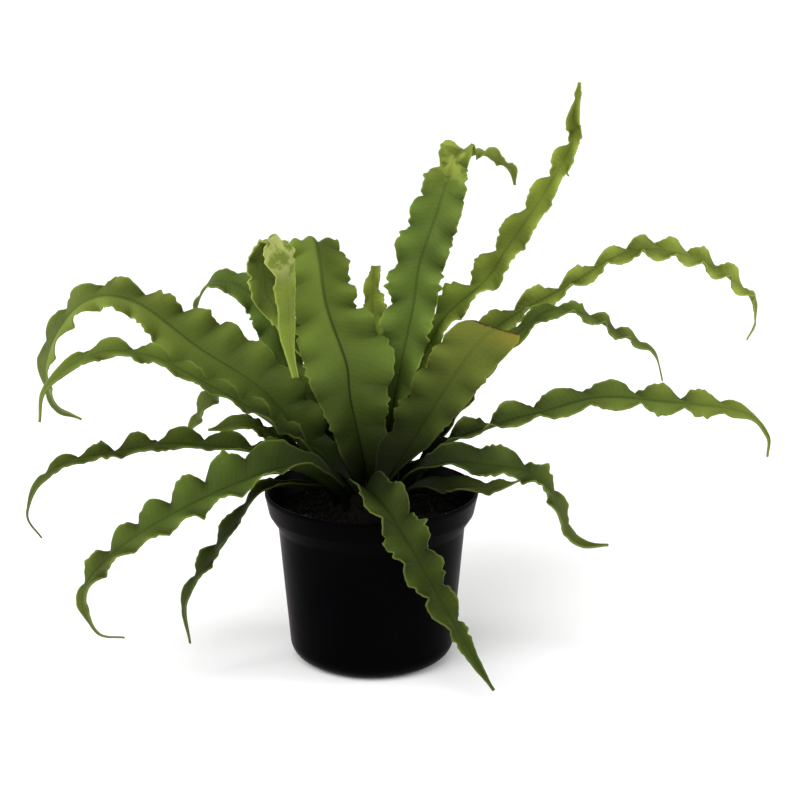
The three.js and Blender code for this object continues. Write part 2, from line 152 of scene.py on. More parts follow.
class Graph:
    """A small helper that adds and joins the nodes of one material."""

    MIX_COLORS = (6, 7)
    MIX_RESULT = 2

    def __init__(self, name: str, roughness: float, specular: float) -> None:
        """Starts a material with one surface shader.

        Args:
            name: the material's name.
            roughness: the shader's roughness.
            specular: the shader's specular level.
        """
        self.material = bpy.data.materials.new(name)
        self.material.use_nodes = True
        self.tree = self.material.node_tree
        self.shader = self.tree.nodes["Principled BSDF"]
        self.shader.inputs["Roughness"].default_value = roughness
        self.shader.inputs["Specular IOR Level"].default_value = specular

    def add(self, kind: str, **settings: object) -> bpy.types.Node:
        """Adds a node.

        Args:
            kind: the node's type.
            settings: its properties by name.

        Returns:
            The new node.
        """
        node = self.tree.nodes.new(kind)
        for key, value in settings.items():
            setattr(node, key, value)
        return node

    def join(self, source: Socket, target: Socket) -> None:
        """Links an output to an input."""
        self.tree.links.new(source, target)

    def feed(self, target: Socket, value: object) -> None:
        """Gives an input its value.

        Args:
            target: the input.
            value: an output to link, or a plain number or colour.
        """
        if isinstance(value, Socket):
            self.join(value, target)
        else:
            target.default_value = value

    def math(self, operation: str, *values: object) -> Socket:
        """Adds a Math node.

        Args:
            operation: what it works out.
            values: its inputs, each a number or an output.

        Returns:
            The result.
        """
        node = self.add("ShaderNodeMath", operation=operation)
        for target, value in zip(node.inputs, values):
            self.feed(target, value)
        return node.outputs[0]

    def plus(self, first: object, second: object) -> Socket:
        """The sum of two numbers or outputs."""
        return self.math("ADD", first, second)

    def times(self, first: object, second: object) -> Socket:
        """The product of two numbers or outputs."""
        return self.math("MULTIPLY", first, second)

    def strayed(self, value: Socket, grain: Socket, spread: float) -> Socket:
        """A value that noise moves up or down, over the given spread."""
        return self.plus(value, self.times(self.math("SUBTRACT", grain, 0.5), spread))

    def span(self, value: Socket, low: float, high: float, to_low: float = 0.0,
             to_high: float = 1.0) -> Socket:
        """Turns one span of values into another, smoothly.

        Args:
            value: what is turned.
            low: start of its span.
            high: end of its span.
            to_low: the result at the start and before it.
            to_high: the result at the end and past it.

        Returns:
            The result.
        """
        node = self.add("ShaderNodeMapRange", interpolation_type="SMOOTHSTEP")
        self.join(value, node.inputs["Value"])
        bounds = {"From Min": low, "From Max": high, "To Min": to_low, "To Max": to_high}
        for key, number in bounds.items():
            node.inputs[key].default_value = number
        return node.outputs["Result"]

    def ramp(self, value: Socket, *stops: tuple[float, Tone]) -> Socket:
        """Gives each value a colour.

        Args:
            value: from 0 to 1.
            stops: places from 0 to 1, each with its colour as seen on a screen.

        Returns:
            The colour.
        """
        node = self.add("ShaderNodeValToRGB")
        elements = node.color_ramp.elements
        while len(elements) < len(stops):
            elements.new(1.0)
        for element, (place, tone) in zip(elements, stops):
            element.position = place
            element.color = srgb(*tone)
        self.join(value, node.inputs["Fac"])
        return node.outputs["Color"]

    def grain(self, pitch: float, detail: float = 3.0, rough: float = 0.5) -> Socket:
        """Noise over the piece's own coordinates.

        Args:
            pitch: how many lumps there are in a metre, roughly.
            detail: number of finer layers.
            rough: strength of the finer layers.

        Returns:
            The noise, mostly near 0.5.
        """
        node = self.add("ShaderNodeTexNoise")
        node.inputs["Scale"].default_value = pitch
        node.inputs["Detail"].default_value = detail
        node.inputs["Roughness"].default_value = rough
        self.join(self.add("ShaderNodeTexCoord").outputs["Object"], node.inputs["Vector"])
        return node.outputs["Fac"]

    def blend(self, share: Socket, first: object, second: object) -> Socket:
        """Mixes two colours.

        Args:
            share: the second colour's part, from 0 to 1.
            first: a linear colour, or an output.
            second: another.

        Returns:
            The mixed colour.
        """
        node = self.add("ShaderNodeMix", data_type="RGBA")
        self.join(share, node.inputs[0])
        for index, value in zip(self.MIX_COLORS, (first, second)):
            self.feed(node.inputs[index], value)
        return node.outputs[self.MIX_RESULT]

    def attribute(self, name: str) -> tuple[Socket, ...]:
        """Reads what a piece keeps at its points.

        Args:
            name: what it is kept under.

        Returns:
            Its three numbers.
        """
        source = self.add("ShaderNodeAttribute", attribute_name=name)
        parts = self.add("ShaderNodeSeparateXYZ")
        self.join(source.outputs["Vector"], parts.inputs[0])
        return tuple(parts.outputs)

    def relief(self, height: Socket, distance: float, strength: float = 1.0) -> None:
        """Puts a bump under the surface shader.

        Args:
            height: the bump's form, from 0 to 1.
            distance: its real height in metres.
            strength: how much of it shows.
        """
        node = self.add("ShaderNodeBump")
        node.inputs["Distance"].default_value = distance
        node.inputs["Strength"].default_value = strength
        self.join(height, node.inputs["Height"])
        self.join(node.outputs["Normal"], self.shader.inputs["Normal"])

    def paint(self, color: Socket) -> None:
        """Gives the surface shader its colour."""
        self.join(color, self.shader.inputs["Base Color"])


class LeafSlot(Enum):
    """The record's slots for leaves."""

    GREEN = "leaf_green"
    YOUNG = "leaf_young"
    DARK = "leaf_dark"


@dataclass(frozen=True)
class LeafPattern:
    """What all blades' finishes share: sizes in metres, pitches a metre, strengths from 0 to 1.

    A band gives the start and end of a span, and the strengths at both.
    """

    specular: float = 0.03
    cloud_pitch: float = 30.0
    fleck_pitch: float = 420.0
    middle_place: float = 0.15
    outer_place: float = 0.62
    cloud_spread: float = 0.3
    deepened: float = 0.6
    lightened: float = 1.25
    dark_clouds: Band = (0.48, 0.7, 0.0, 0.5)
    # Painted shade in the lobes' hollows and painted highlight on their crests.
    shaded_hollows: Band = (-0.45, 0.4, 0.6, 0.0)
    lit_crests: Band = (0.1, 0.45, 0.0, 0.4)
    dark_flecks: Band = (0.5, 0.8, 0.0, 0.2)
    vein_pitch: float = 2100.0
    vein_slant: float = 900.0
    vein_stray: float = 3.0
    veins: Band = (0.0, 1.0, 0.0, 0.05)
    # Where the painted light on one half of a blade begins, across it and along it.
    lit_side: tuple[float, float] = (-0.0005, 0.003)
    lit_grown: tuple[float, float] = (0.3, 0.65)
    rib_line: Band = (0.0003, 0.0014, 1.0, 0.0)
    rib_fading: tuple[float, float] = (0.35, 0.85)
    rib_left: float = 0.3
    margin: Band = (0.0, 0.0012, 0.5, 0.0)
    under_share: float = 0.15
    # Where the crown's painted shade starts to fade, and how ragged its end is.
    dark_foot: float = 0.012
    dark_spread: float = 0.03
    groove: Band = (0.0, 0.0015, -1.0, 0.0)
    pucker: Band = (0.0005, 0.004, 0.0, 0.05)
    grit: float = 0.3
    relief: float = 0.0004
    relief_share: float = 0.8
    dry_depth: float = 0.012
    dry_spread: float = 0.03
    dry_share: float = 0.95
    yellow_depth: float = 0.12
    yellow_share: float = 0.6
    yellow_side: Band = (-0.012, 0.004, 1.0, 0.1)
    frost_pitch: float = 110.0
    frost_patch: Band = (0.44, 0.6, 0.0, 0.5)
    frost_reach: Band = (0.02, 0.1, 1.0, 0.0)


PATTERN = LeafPattern()


@dataclass(frozen=True)
class LeafFinish:
    """Colours of one kind of blade, as seen on a screen, from the crown to its tip.

    Attributes:
        name: the material's name.
        middle: colour of the inner part.
        outer: colour further out.
        tip: colour at the tip.
        base: colour of the crown's painted shade.
        margin: colour along both margins.
        rib: colour of the midrib's line.
        rib_share: strength of that line.
        gloss: the shader's roughness.
        shade_reach: how far out the crown's painted shade goes, in metres.
        cut_edge: place along the frond where a dried cut starts, or 0.
        yellow: colour of the corner beside the cut.
        dry: colour of the cut.
        patch_and_sheen_at: place of pale patches along the frond, or 0: painted sheen on a fold, a paler
            tone elsewhere.
        patch_and_sheen_tone: their colour.
        lit_half: how much paler one half is, as painted light where it turns to the light; the sign says
            which half.
    """

    name: str
    middle: Tone
    outer: Tone
    tip: Tone
    base: Tone = (7, 10, 5)
    margin: Tone = (122, 138, 58)
    rib: Tone = (32, 44, 18)
    rib_share: float = 0.5
    gloss: float = 0.46
    shade_reach: float = 0.095
    cut_edge: float = 0.0
    yellow: Tone = (132, 122, 46)
    dry: Tone = (66, 38, 22)
    patch_and_sheen_at: float = 0.0
    patch_and_sheen_tone: Tone = (190, 192, 118)
    lit_half: float = 0.0

    def material(self) -> bpy.types.Material:
        """Blade with painted crown shade at its base, a fading midrib, faint side veins and cloudy green
        colour.

        Returns:
            The material, made once and shared by the fronds that use it.
        """
        ready = bpy.data.materials.get(self.name)
        if ready:
            return ready
        g = Graph(self.name, self.gloss, PATTERN.specular)
        aside, share, along = g.attribute("leaf")
        rim, under, crest = g.attribute("leaf_rim")
        distance = g.math("ABSOLUTE", aside)
        cloud, fleck = g.grain(PATTERN.cloud_pitch, 2.0), g.grain(PATTERN.fleck_pitch, 4.0, 0.6)
        # A paler colour: painted highlight on crests and on the lit half, and the paler veins and
        # underside that the blade has.
        light = srgb(*(min(255.0, PATTERN.lightened * channel + 5) for channel in self.outer))
        tone = g.ramp(g.strayed(share, cloud, PATTERN.cloud_spread), (PATTERN.middle_place, self.middle),
                      (PATTERN.outer_place, self.outer), (1.0, self.tip))
        tone = self.mottle_and_shade(g, tone, cloud, fleck, crest, light)
        vein = self.veins(g, along, distance, fleck)
        tone = g.blend(g.span(vein, *PATTERN.veins), tone, light)
        # Painted light: one half of some blades is paler, for the light that falls on it.
        if self.lit_half:
            tone = self.pale(g, tone, aside, share, light)
        fading = g.span(share, *PATTERN.rib_fading, self.rib_share, PATTERN.rib_left * self.rib_share)
        tone = g.blend(g.times(g.span(distance, *PATTERN.rib_line), fading), tone, srgb(*self.rib))
        tone = g.blend(g.span(rim, *PATTERN.margin), tone, srgb(*self.margin))
        tone = g.blend(g.times(under, PATTERN.under_share), tone, light)
        if self.cut_edge:
            tone = self.sear(g, tone, aside, share, fleck)
        # Pale patches: painted sheen where the blade folds over, a paler tone of its own elsewhere.
        if self.patch_and_sheen_at:
            tone = self.paint_patch_and_sheen(g, tone, share)
        # Painted shade: towards the crown the blade darkens to its base colour, for the shade of the
        # fronds around it.
        dark = g.span(g.strayed(along, cloud, PATTERN.dark_spread), PATTERN.dark_foot, self.shade_reach,
                      1.0, 0.0)
        g.paint(g.blend(dark, tone, srgb(*self.base)))
        pucker = g.times(vein, g.span(distance, *PATTERN.pucker))
        height = g.plus(g.plus(g.span(distance, *PATTERN.groove), pucker), g.times(fleck, PATTERN.grit))
        g.relief(height, PATTERN.relief, PATTERN.relief_share)
        return g.material

    def mottle_and_shade(self, g: Graph, tone: Socket, cloud: Socket, fleck: Socket, crest: Socket,
               light: tuple[float, ...]) -> Socket:
        """Clouds, flecks, painted shade in the hollows and painted highlight on the crests, over the
        blade's colour.

        Args:
            g: the material under way.
            tone: the colour so far.
            cloud: broad noise.
            fleck: fine noise.
            crest: height in the run of lobes, low in the hollows.
            light: colour of the painted highlight on crests.

        Returns:
            The new colour.
        """
        # deep darkens the random clouds and flecks, and is the painted shade in the hollows.
        deep = srgb(*(PATTERN.deepened * channel for channel in self.middle))
        for source, band, color in ((cloud, PATTERN.dark_clouds, deep),
                                    (crest, PATTERN.shaded_hollows, deep),
                                    (crest, PATTERN.lit_crests, light),
                                    (fleck, PATTERN.dark_flecks, deep)):
            tone = g.blend(g.span(source, *band), tone, color)
        return tone

    def veins(self, g: Graph, along: Socket, distance: Socket, fleck: Socket) -> Socket:
        """Close side veins that slant away from the midrib."""
        slant = g.plus(g.times(along, PATTERN.vein_pitch), g.times(distance, PATTERN.vein_slant))
        return g.math("SINE", g.plus(slant, g.times(fleck, PATTERN.vein_stray)))

    def pale(self, g: Graph, tone: Socket, aside: Socket, share: Socket,
             light: tuple[float, ...]) -> Socket:
        """One half of the blade, paler where it turns to the light.

        Args:
            g: the material under way.
            tone: the colour so far.
            aside: signed distance from the midrib.
            share: place along the frond.
            light: the pale colour of the painted light.

        Returns:
            The new colour.
        """
        half = g.times(aside, math.copysign(1.0, self.lit_half))
        side = g.span(half, *PATTERN.lit_side, 0.0, abs(self.lit_half))
        return g.blend(g.times(side, g.span(share, *PATTERN.lit_grown)), tone, light)

    def sear(self, g: Graph, tone: Socket, aside: Socket, share: Socket, fleck: Socket) -> Socket:
        """Dry brown along the cut, with a yellowed corner beside it.

        Args:
            g: the material under way.
            tone: the colour so far.
            aside: signed distance from the midrib.
            share: place along the frond.
            fleck: fine noise.

        Returns:
            The new colour.
        """
        start, edge = self.cut_edge - PATTERN.yellow_depth, self.cut_edge
        corner = g.times(g.span(share, start, edge, 0.0, PATTERN.yellow_share),
                         g.span(aside, *PATTERN.yellow_side))
        tone = g.blend(corner, tone, srgb(*self.yellow))
        ragged = g.strayed(share, fleck, PATTERN.dry_spread)
        dry = g.span(ragged, edge, edge + PATTERN.dry_depth, 0.0, PATTERN.dry_share)
        return g.blend(dry, tone, srgb(*self.dry))

    def paint_patch_and_sheen(self, g: Graph, tone: Socket, share: Socket) -> Socket:
        """Pale patches along the frond: painted sheen where the blade folds over, a paler tone of its own
        elsewhere.

        Args:
            g: the material under way.
            tone: the colour so far.
            share: place along the frond.

        Returns:
            The new colour.
        """
        near = g.math("ABSOLUTE", g.math("SUBTRACT", share, self.patch_and_sheen_at))
        patchy = g.span(g.grain(PATTERN.frost_pitch), *PATTERN.frost_patch)
        patch = g.times(g.span(near, *PATTERN.frost_reach), patchy)
        return g.blend(patch, tone, srgb(*self.patch_and_sheen_tone))


@dataclass(frozen=True)
class GrainFinish:
    """A rough, dull finish: noise gives it its colours and its relief."""

    name: str
    roughness: float
    specular: float
    pitch: float
    stops: tuple[tuple[float, Tone], ...]
    relief: float
    detail: float = 3.0
    rough: float = 0.5
    relief_pitch: float = 0.0

    def material(self) -> bpy.types.Material:
        """Coloured noise, with a relief of the same noise or of a finer one.

        Returns:
            The material.
        """
        g = Graph(self.name, self.roughness, self.specular)
        grain = g.grain(self.pitch, self.detail, self.rough)
        g.paint(g.ramp(grain, *self.stops))
        g.relief(g.grain(self.relief_pitch) if self.relief_pitch else grain, self.relief)
        return g.material


GREEN = LeafFinish("leaf_mid_green", (82, 100, 39), (85, 101, 38), (100, 114, 43), rib_share=0.4)
GREAT = replace(GREEN, name="leaf_great_green", outer=(86, 99, 38), tip=(84, 96, 38), shade_reach=0.12,
                lit_half=0.6)
NARROW = replace(GREEN, name="leaf_narrow_green", middle=(66, 80, 31), shade_reach=0.15)
LEVEL = replace(GREEN, name="leaf_level_green", middle=(40, 52, 20), outer=(82, 96, 37),
                tip=(120, 134, 53), lit_half=-0.3)
RIBBED = replace(GREEN, name="leaf_ribbed_green", rib_share=0.85, lit_half=0.5)
SOFT = LeafFinish("leaf_soft_green", (90, 110, 44), (86, 105, 42), (80, 96, 40), rib_share=0.4)
TALL = replace(SOFT, name="leaf_tall_green", tip=(130, 137, 53), patch_and_sheen_at=0.77, patch_and_sheen_tone=(158, 168, 74))
FRESH = LeafFinish("leaf_fresh_green", (114, 136, 53), (117, 131, 48), (108, 120, 43),
                   margin=(144, 154, 66), rib_share=0.3)
# The yellow-green blade's pale patches at its fold are painted sheen.
BRIGHT = LeafFinish("leaf_yellow_green", (84, 104, 42), (108, 122, 48), (116, 132, 50),
                    margin=(164, 176, 82), rib_share=0.15, gloss=0.36, patch_and_sheen_at=0.71)
MELLOW = replace(FRESH, name="leaf_mellow_green", middle=(60, 74, 29), outer=(114, 128, 48),
                 tip=(102, 114, 42))
SHADED = LeafFinish("leaf_dark_green", (42, 54, 21), (60, 72, 30), (82, 84, 44),
                    margin=(92, 104, 46), shade_reach=0.11)
DROOPING = LeafFinish("leaf_low_green", (66, 82, 31), (74, 89, 33), (88, 100, 40), rib_share=0.35)
INSIDE = replace(DROOPING, name="leaf_inside_green", shade_reach=0.14)
ARCHING = replace(DROOPING, name="leaf_arching_green", middle=(50, 62, 24), outer=(65, 78, 30),
                  tip=(84, 96, 38))
DUSKY = LeafFinish("leaf_dusky_green", (46, 56, 19), (53, 64, 21), (63, 77, 26), margin=(104, 118, 52),
                   shade_reach=0.075)
# Painted shade: SHADOWED and DIM are darker copies of the dusky green for the low left fronds, in the
# shade of those above them.
SHADOWED = replace(DUSKY, name="leaf_shadowed_green", middle=(48, 60, 18), outer=(58, 70, 20), tip=(78, 90, 28))
DIM = replace(SHADOWED, name="leaf_dim_green", middle=(38, 46, 14), outer=(44, 54, 16), tip=(62, 74, 26))
CUT = LeafFinish("leaf_cut_green", (76, 92, 37), (92, 106, 42), (112, 118, 46),
                 margin=(128, 134, 58), rib_share=0.3, shade_reach=0.14, cut_edge=0.985)
# Painted shade: the bark and the white grit are coloured far darker than they are, for the shade inside
# the pot.
BARK = GrainFinish("bark_bits", 0.85, 0.08, 700.0, ((0.3, (11, 8, 6)), (0.7, (34, 25, 17))), 0.0004)
GRIT = GrainFinish("white_grit", 0.8, 0.1, 1200.0, ((0.3, (38, 34, 28)), (0.7, (72, 66, 56))), 0.0003,
                   detail=2.0)
FIBRE = GrainFinish("crown_dark_fibre", 0.88, 0.05, 520.0,
                    ((0.3, (6, 5, 3)), (0.6, (15, 12, 8)), (0.85, (28, 22, 14))), 0.0009,
                    detail=5.0, rough=0.7)
SCALE = GrainFinish("crown_scale_brown", 0.7, 0.06, 300.0, ((0.3, (9, 7, 5)), (0.75, (30, 24, 15))),
                    0.0002, relief_pitch=1600.0)


@dataclass(frozen=True)
class PotPlastic:
    """Near-black moulded plastic, satin, with a faint cloud of dust and fine scuffs."""

    name: str = "pot_black_plastic"
    specular: float = 0.01
    glossy: float = 0.34
    worn: float = 0.46
    sheen: float = 0.12
    sheen_roughness: float = 0.25
    sheen_tint: tuple[float, float, float, float] = (1.0, 0.7, 0.7, 1.0)
    deep: Tone = (1, 1, 2)
    dusty: Tone = (4, 3, 4)
    scuff: Tone = (12, 9, 10)
    dust_pitch: float = 26.0
    scuff_pitch: float = 900.0
    relief: float = 0.00005

    def material(self) -> bpy.types.Material:
        """Colour and gloss that vary softly, with scuffs that stand out a little.

        Returns:
            The material.
        """
        g = Graph(self.name, self.glossy, self.specular)
        g.shader.inputs["Sheen Weight"].default_value = self.sheen
        g.shader.inputs["Sheen Roughness"].default_value = self.sheen_roughness
        g.shader.inputs["Sheen Tint"].default_value = self.sheen_tint
        cloud, fine = g.grain(self.dust_pitch), g.grain(self.scuff_pitch, 2.0)
        tone = g.ramp(cloud, (0.3, self.deep), (0.75, self.dusty))
        g.paint(g.blend(g.span(fine, 0.6, 0.85, 0.0, 0.3), tone, srgb(*self.scuff)))
        g.join(g.span(cloud, 0.3, 0.8, self.glossy, self.worn), g.shader.inputs["Roughness"])
        g.relief(fine, self.relief, 0.5)
        return g.material


@dataclass(frozen=True)
class DampShadedMix:
    """Dark, damp mix, brown to black and matt, made darker still as painted shade inside the pot."""

    name: str = "potting_mix_dark"
    roughness: float = 0.9
    specular: float = 0.05
    lumps: tuple[tuple[float, Tone], ...] = ((0.3, (4, 4, 3)), (0.55, (12, 9, 7)), (0.8, (25, 19, 14)))
    fleck: Tone = (7, 5, 4)
    lump_pitch: float = 240.0
    crumb_pitch: float = 1500.0
    relief: float = 0.0012

    def material(self) -> bpy.types.Material:
        """Lumps and fine crumbs, in colour and in relief.

        Returns:
            The material.
        """
        g = Graph(self.name, self.roughness, self.specular)
        lump, fine = g.grain(self.lump_pitch, 4.0, 0.65), g.grain(self.crumb_pitch)
        tone = g.ramp(lump, *self.lumps)
        g.paint(g.blend(g.span(fine, 0.45, 0.8, 0.0, 0.5), tone, srgb(*self.fleck)))
        g.relief(g.plus(lump, g.times(fine, 0.4)), self.relief)
        return g.material


@dataclass(frozen=True)
class BladeRules:
    """What all blades share, in millimetres or as shares of a length, as in their solids."""

    thickness: float = 0.9
    midrib_extra: float = 0.5
    midrib_fade: float = 1.5
    stalk_width: float = 5.6
    stalk_thickness: float = 3.0
    stalk_edge: float = 1.8
    stalk_foot: float = 84.0
    stalk_length: float = 20.0
    stalk_lean: float = 1.08
    leafy: tuple[float, float] = (0.6, 2.0)
    ruffled: tuple[float, float] = (1.2, 3.2)
    turned: float = 3.0
    collar_height: float = 99.0
    tip_width: float = 1.6
    wave_length: float = 23.0
    wave_drift: float = 0.9
    drift_pitch: float = 9.0
    wave_lag: float = 1.2
    wave_growth: float = 1.4
    narrow_half: float = 7.0
    gather: float = 0.1
    lobe_middle: float = 0.55
    lobe_softness: float = 0.05
    lobe_height: float = 2.0
    lobe_reach: float = 2.6
    swell: float = 0.25
    swell_pitch: float = 15.0
    calm_share: float = 0.8
    slant_start: float = 0.7
    crimp: float = 0.8
    crimp_pitch: float = 9.5
    tatter: float = 0.7
    knob_length: float = 13.0
    knob_turns: float = 9.0
    blunt_length: float = 7.0
    step: float = 1.0
    look_along: float = 0.8
    look_across: float = 0.06


RULES = BladeRules()


class Midrib:
    """The smooth line that a frond's blade follows, measured by its own length."""

    SAMPLES = 40
    LOOK = 1.2

    def __init__(self, points: list[Vector]) -> None:
        """Joins the points with a smooth curve.

        Args:
            points: the places that the line goes through, in millimetres.
        """
        knots = [2 * points[0] - points[1], *points, 2 * points[-1] - points[-2]]
        grid = np.array([list(p) for p in knots])
        t = np.linspace(0.0, 1.0, self.SAMPLES, endpoint=False)[:, None]
        runs = []
        for i in range(len(points) - 1):
            before, start, end, after = grid[i:i + 4]
            leave, arrive = 0.5 * (end - before), 0.5 * (after - start)
            runs.append((2 * start - 2 * end + leave + arrive) * t**3
                        + (-3 * start + 3 * end - 2 * leave - arrive) * t**2 + leave * t + start)
        self.line = np.vstack([*runs, grid[-2:-1]])
        steps = np.linalg.norm(np.diff(self.line, axis=0), axis=1)
        self.reached = np.concatenate([[0.0], np.cumsum(steps)])
        self.length = float(self.reached[-1])

    def at(self, share: np.ndarray) -> np.ndarray:
        """Places along the line, each share from 0, the foot, to 1, the tip."""
        wanted = share * self.length
        return np.stack([np.interp(wanted, self.reached, self.line[:, k]) for k in range(3)], axis=1)

    def ahead(self, share: np.ndarray) -> np.ndarray:
        """Directions of the line.

        Args:
            share: places along it, from 0 to 1.

        Returns:
            One unit vector for each place.
        """
        gap = self.LOOK / self.length
        run = self.at(np.clip(share + gap, 0, 1)) - self.at(np.clip(share - gap, 0, 1))
        return run / np.linalg.norm(run, axis=1)[:, None]


@dataclass
class Frond:
    """One strap frond: its route in an upright plane, its widths and its ruffle, in millimetres.

    Places along the frond run from 0 at the foot to 1 at the tip, and angles are in degrees.

    Attributes:
        name: the solid that it stands for.
        azimuth: direction of the route's plane.
        root: the foot's distance from the axis, and its direction.
        turn: twist of the blade at the foot and at the tip.
        wave: height of each margin's ruffle, and how far one margin's lobes lead the other's.
        widths: places along the frond, each with the blade's width.
        route: reach and height of each point, and how far it strays sideways.
        finish: the blade's colours.
        slot: the record's material slot; not used.
        pitch: length of one lobe.
        tip: width of the tip.
        slant: slope of the tip's edge.
        calm: the places between which the ruffle dies down.
        fold: rise of both halves at the foot and further out, and the place where they are open.
        crimp: strength of the fine crimps.
        knobs: place of the knobs on a crest, and their height.
        blunt: how far the tip's corners are rounded.
        columns: number of faces across the blade.
        aside: sideways direction, square to the route's plane.
        midrib: the line that the route gives.
        stalk: place along the frond where the blade starts.
    """

    name: str
    azimuth: float
    root: tuple[float, float]
    turn: tuple[float, float]
    wave: tuple[float, float, float]
    widths: list[tuple[float, float]]
    route: list[tuple[float, ...]]
    finish: LeafFinish = GREEN
    slot: LeafSlot = LeafSlot.GREEN
    pitch: float = RULES.wave_length
    tip: float = RULES.tip_width
    slant: float = 0.0
    calm: tuple[float, float] = (0.7, 0.92)
    fold: tuple[float, float, float] = (50.0, 8.0, 0.6)
    crimp: float = 1.0
    knobs: tuple[float, float] = (0.9, 0.0)
    blunt: float = 0.0
    columns: int = 14
    aside: np.ndarray = field(init=False)
    midrib: Midrib = field(init=False)
    stalk: float = field(init=False)

    def __post_init__(self) -> None:
        """Works out the midrib's line and the stalk's share of it."""
        plane = math.radians(self.azimuth)
        along = around(1, plane, 0)
        self.aside = np.array((-math.sin(plane), math.cos(plane), 0.0))
        foot = around(self.root[0], math.radians(self.root[1]), RULES.stalk_foot)
        collar = Vector((foot.x * RULES.stalk_lean, foot.y * RULES.stalk_lean, RULES.collar_height))
        points = [foot, collar]
        for reach, height, *sway in self.route:
            side = Vector(self.aside) * (sway[0] if sway else 0.0)
            points.append(along * reach + side + Vector((0, 0, height)))
        self.midrib = Midrib(points)
        self.stalk = RULES.stalk_length / self.midrib.length

    def half_width(self, share: np.ndarray) -> np.ndarray:
        """Half of the blade's width.

        Args:
            share: places along the frond, from 0 to 1.

        Returns:
            The half width at each place, in millimetres.
        """
        places = [(self.stalk, RULES.stalk_width), *self.widths, (1.0, self.tip)]
        width = np.full(share.shape, RULES.stalk_width)
        for index, ((start, before), (end, after)) in enumerate(zip(places, places[1:])):
            inside = share >= start
            t = np.clip((share - start) / (end - start), 0.0, 1.0)
            part = np.sin(math.pi / 2 * t) if index == 0 else ease(share, start, end)
            width = np.where(inside, before + (after - before) * part, width)
        corner = np.clip(1 - (1 - share) * self.midrib.length / RULES.blunt_length, 0.0, 1.0)
        return width / 2 * (1 - self.blunt * (1 - np.sqrt(1 - corner**2)))

    def thickness(self, share: np.ndarray, across: np.ndarray) -> np.ndarray:
        """Thickness of the stalk and the blade.

        Args:
            share: places along the frond, from 0 to 1.
            across: places across it, from 0 at the midrib to 1 at a margin.

        Returns:
            The thickness at each place, in millimetres.
        """
        leafy = ease(share, RULES.leafy[0] * self.stalk, RULES.leafy[1] * self.stalk)
        rib = RULES.thickness + RULES.midrib_extra * (1 - share)
        middle = RULES.stalk_thickness + (rib - RULES.stalk_thickness) * leafy
        edge = RULES.stalk_edge + (RULES.thickness - RULES.stalk_edge) * leafy
        return middle + (edge - middle) * np.minimum(1.0, across * RULES.midrib_fade)

    def ruffle(self, share: np.ndarray, half: np.ndarray) -> np.ndarray:
        """Strength of the ruffle at places along the frond.

        Args:
            share: places along the frond, from 0 to 1.
            half: half of the blade's width there.

        Returns:
            About 1 where the blade is fully ruffled, and 0 at the stalk.
        """
        leafy = ease(share, RULES.ruffled[0] * self.stalk, RULES.ruffled[1] * self.stalk)
        grown = leafy * np.minimum(1.0, half / RULES.narrow_half)
        swell = 1 + RULES.swell * np.sin(RULES.swell_pitch * share + 2 * self.azimuth)
        return grown * swell * (1 - RULES.calm_share * ease(share, *self.calm))

    def phase(self, share: np.ndarray, across: np.ndarray) -> np.ndarray:
        """Place in the run of lobes.

        Args:
            share: places along the frond, from 0 to 1.
            across: places across it, from -1 to 1.

        Returns:
            Radians; a whole turn is one lobe.
        """
        drift = RULES.wave_drift * np.sin(RULES.drift_pitch * share + self.azimuth)
        run = 2 * math.pi * share * self.midrib.length / self.pitch + drift
        lead = math.radians(self.wave[2]) * (across > 0)
        return run + lead - RULES.wave_lag * (1 - np.abs(across))

    def lobe(self, share: np.ndarray, across: np.ndarray) -> np.ndarray:
        """Height in the run of round lobes with tight notches between them, about 0 on average."""
        half_turn = np.sin(self.phase(share, across) / 2)
        return np.hypot(half_turn, RULES.lobe_softness) - RULES.lobe_middle

    def frills(self, share: np.ndarray, side: np.ndarray) -> np.ndarray:
        """Small uneven crimps of the margins, which come and go along the frond.

        Args:
            share: places along the frond, from 0 to 1.
            side: the margin, -1 or 1.

        Returns:
            Two rows in millimetres: up from the blade, and out from the midrib.
        """
        # The factors have no common measure, so that the crimps never repeat.
        turn = 2 * math.pi * share * self.midrib.length / RULES.crimp_pitch
        start = self.azimuth + 2.1 * side
        patch = 0.55 + 0.45 * np.sin(0.31 * turn + 1.7 * start)
        rise = np.sin(turn + start + 1.3 * np.sin(0.37 * turn + start))
        out = np.sin(1.27 * turn - start) + 0.7 * np.sin(2.3 * turn + 2 * start)
        return np.stack([RULES.crimp * patch * rise, RULES.tatter * patch * out])

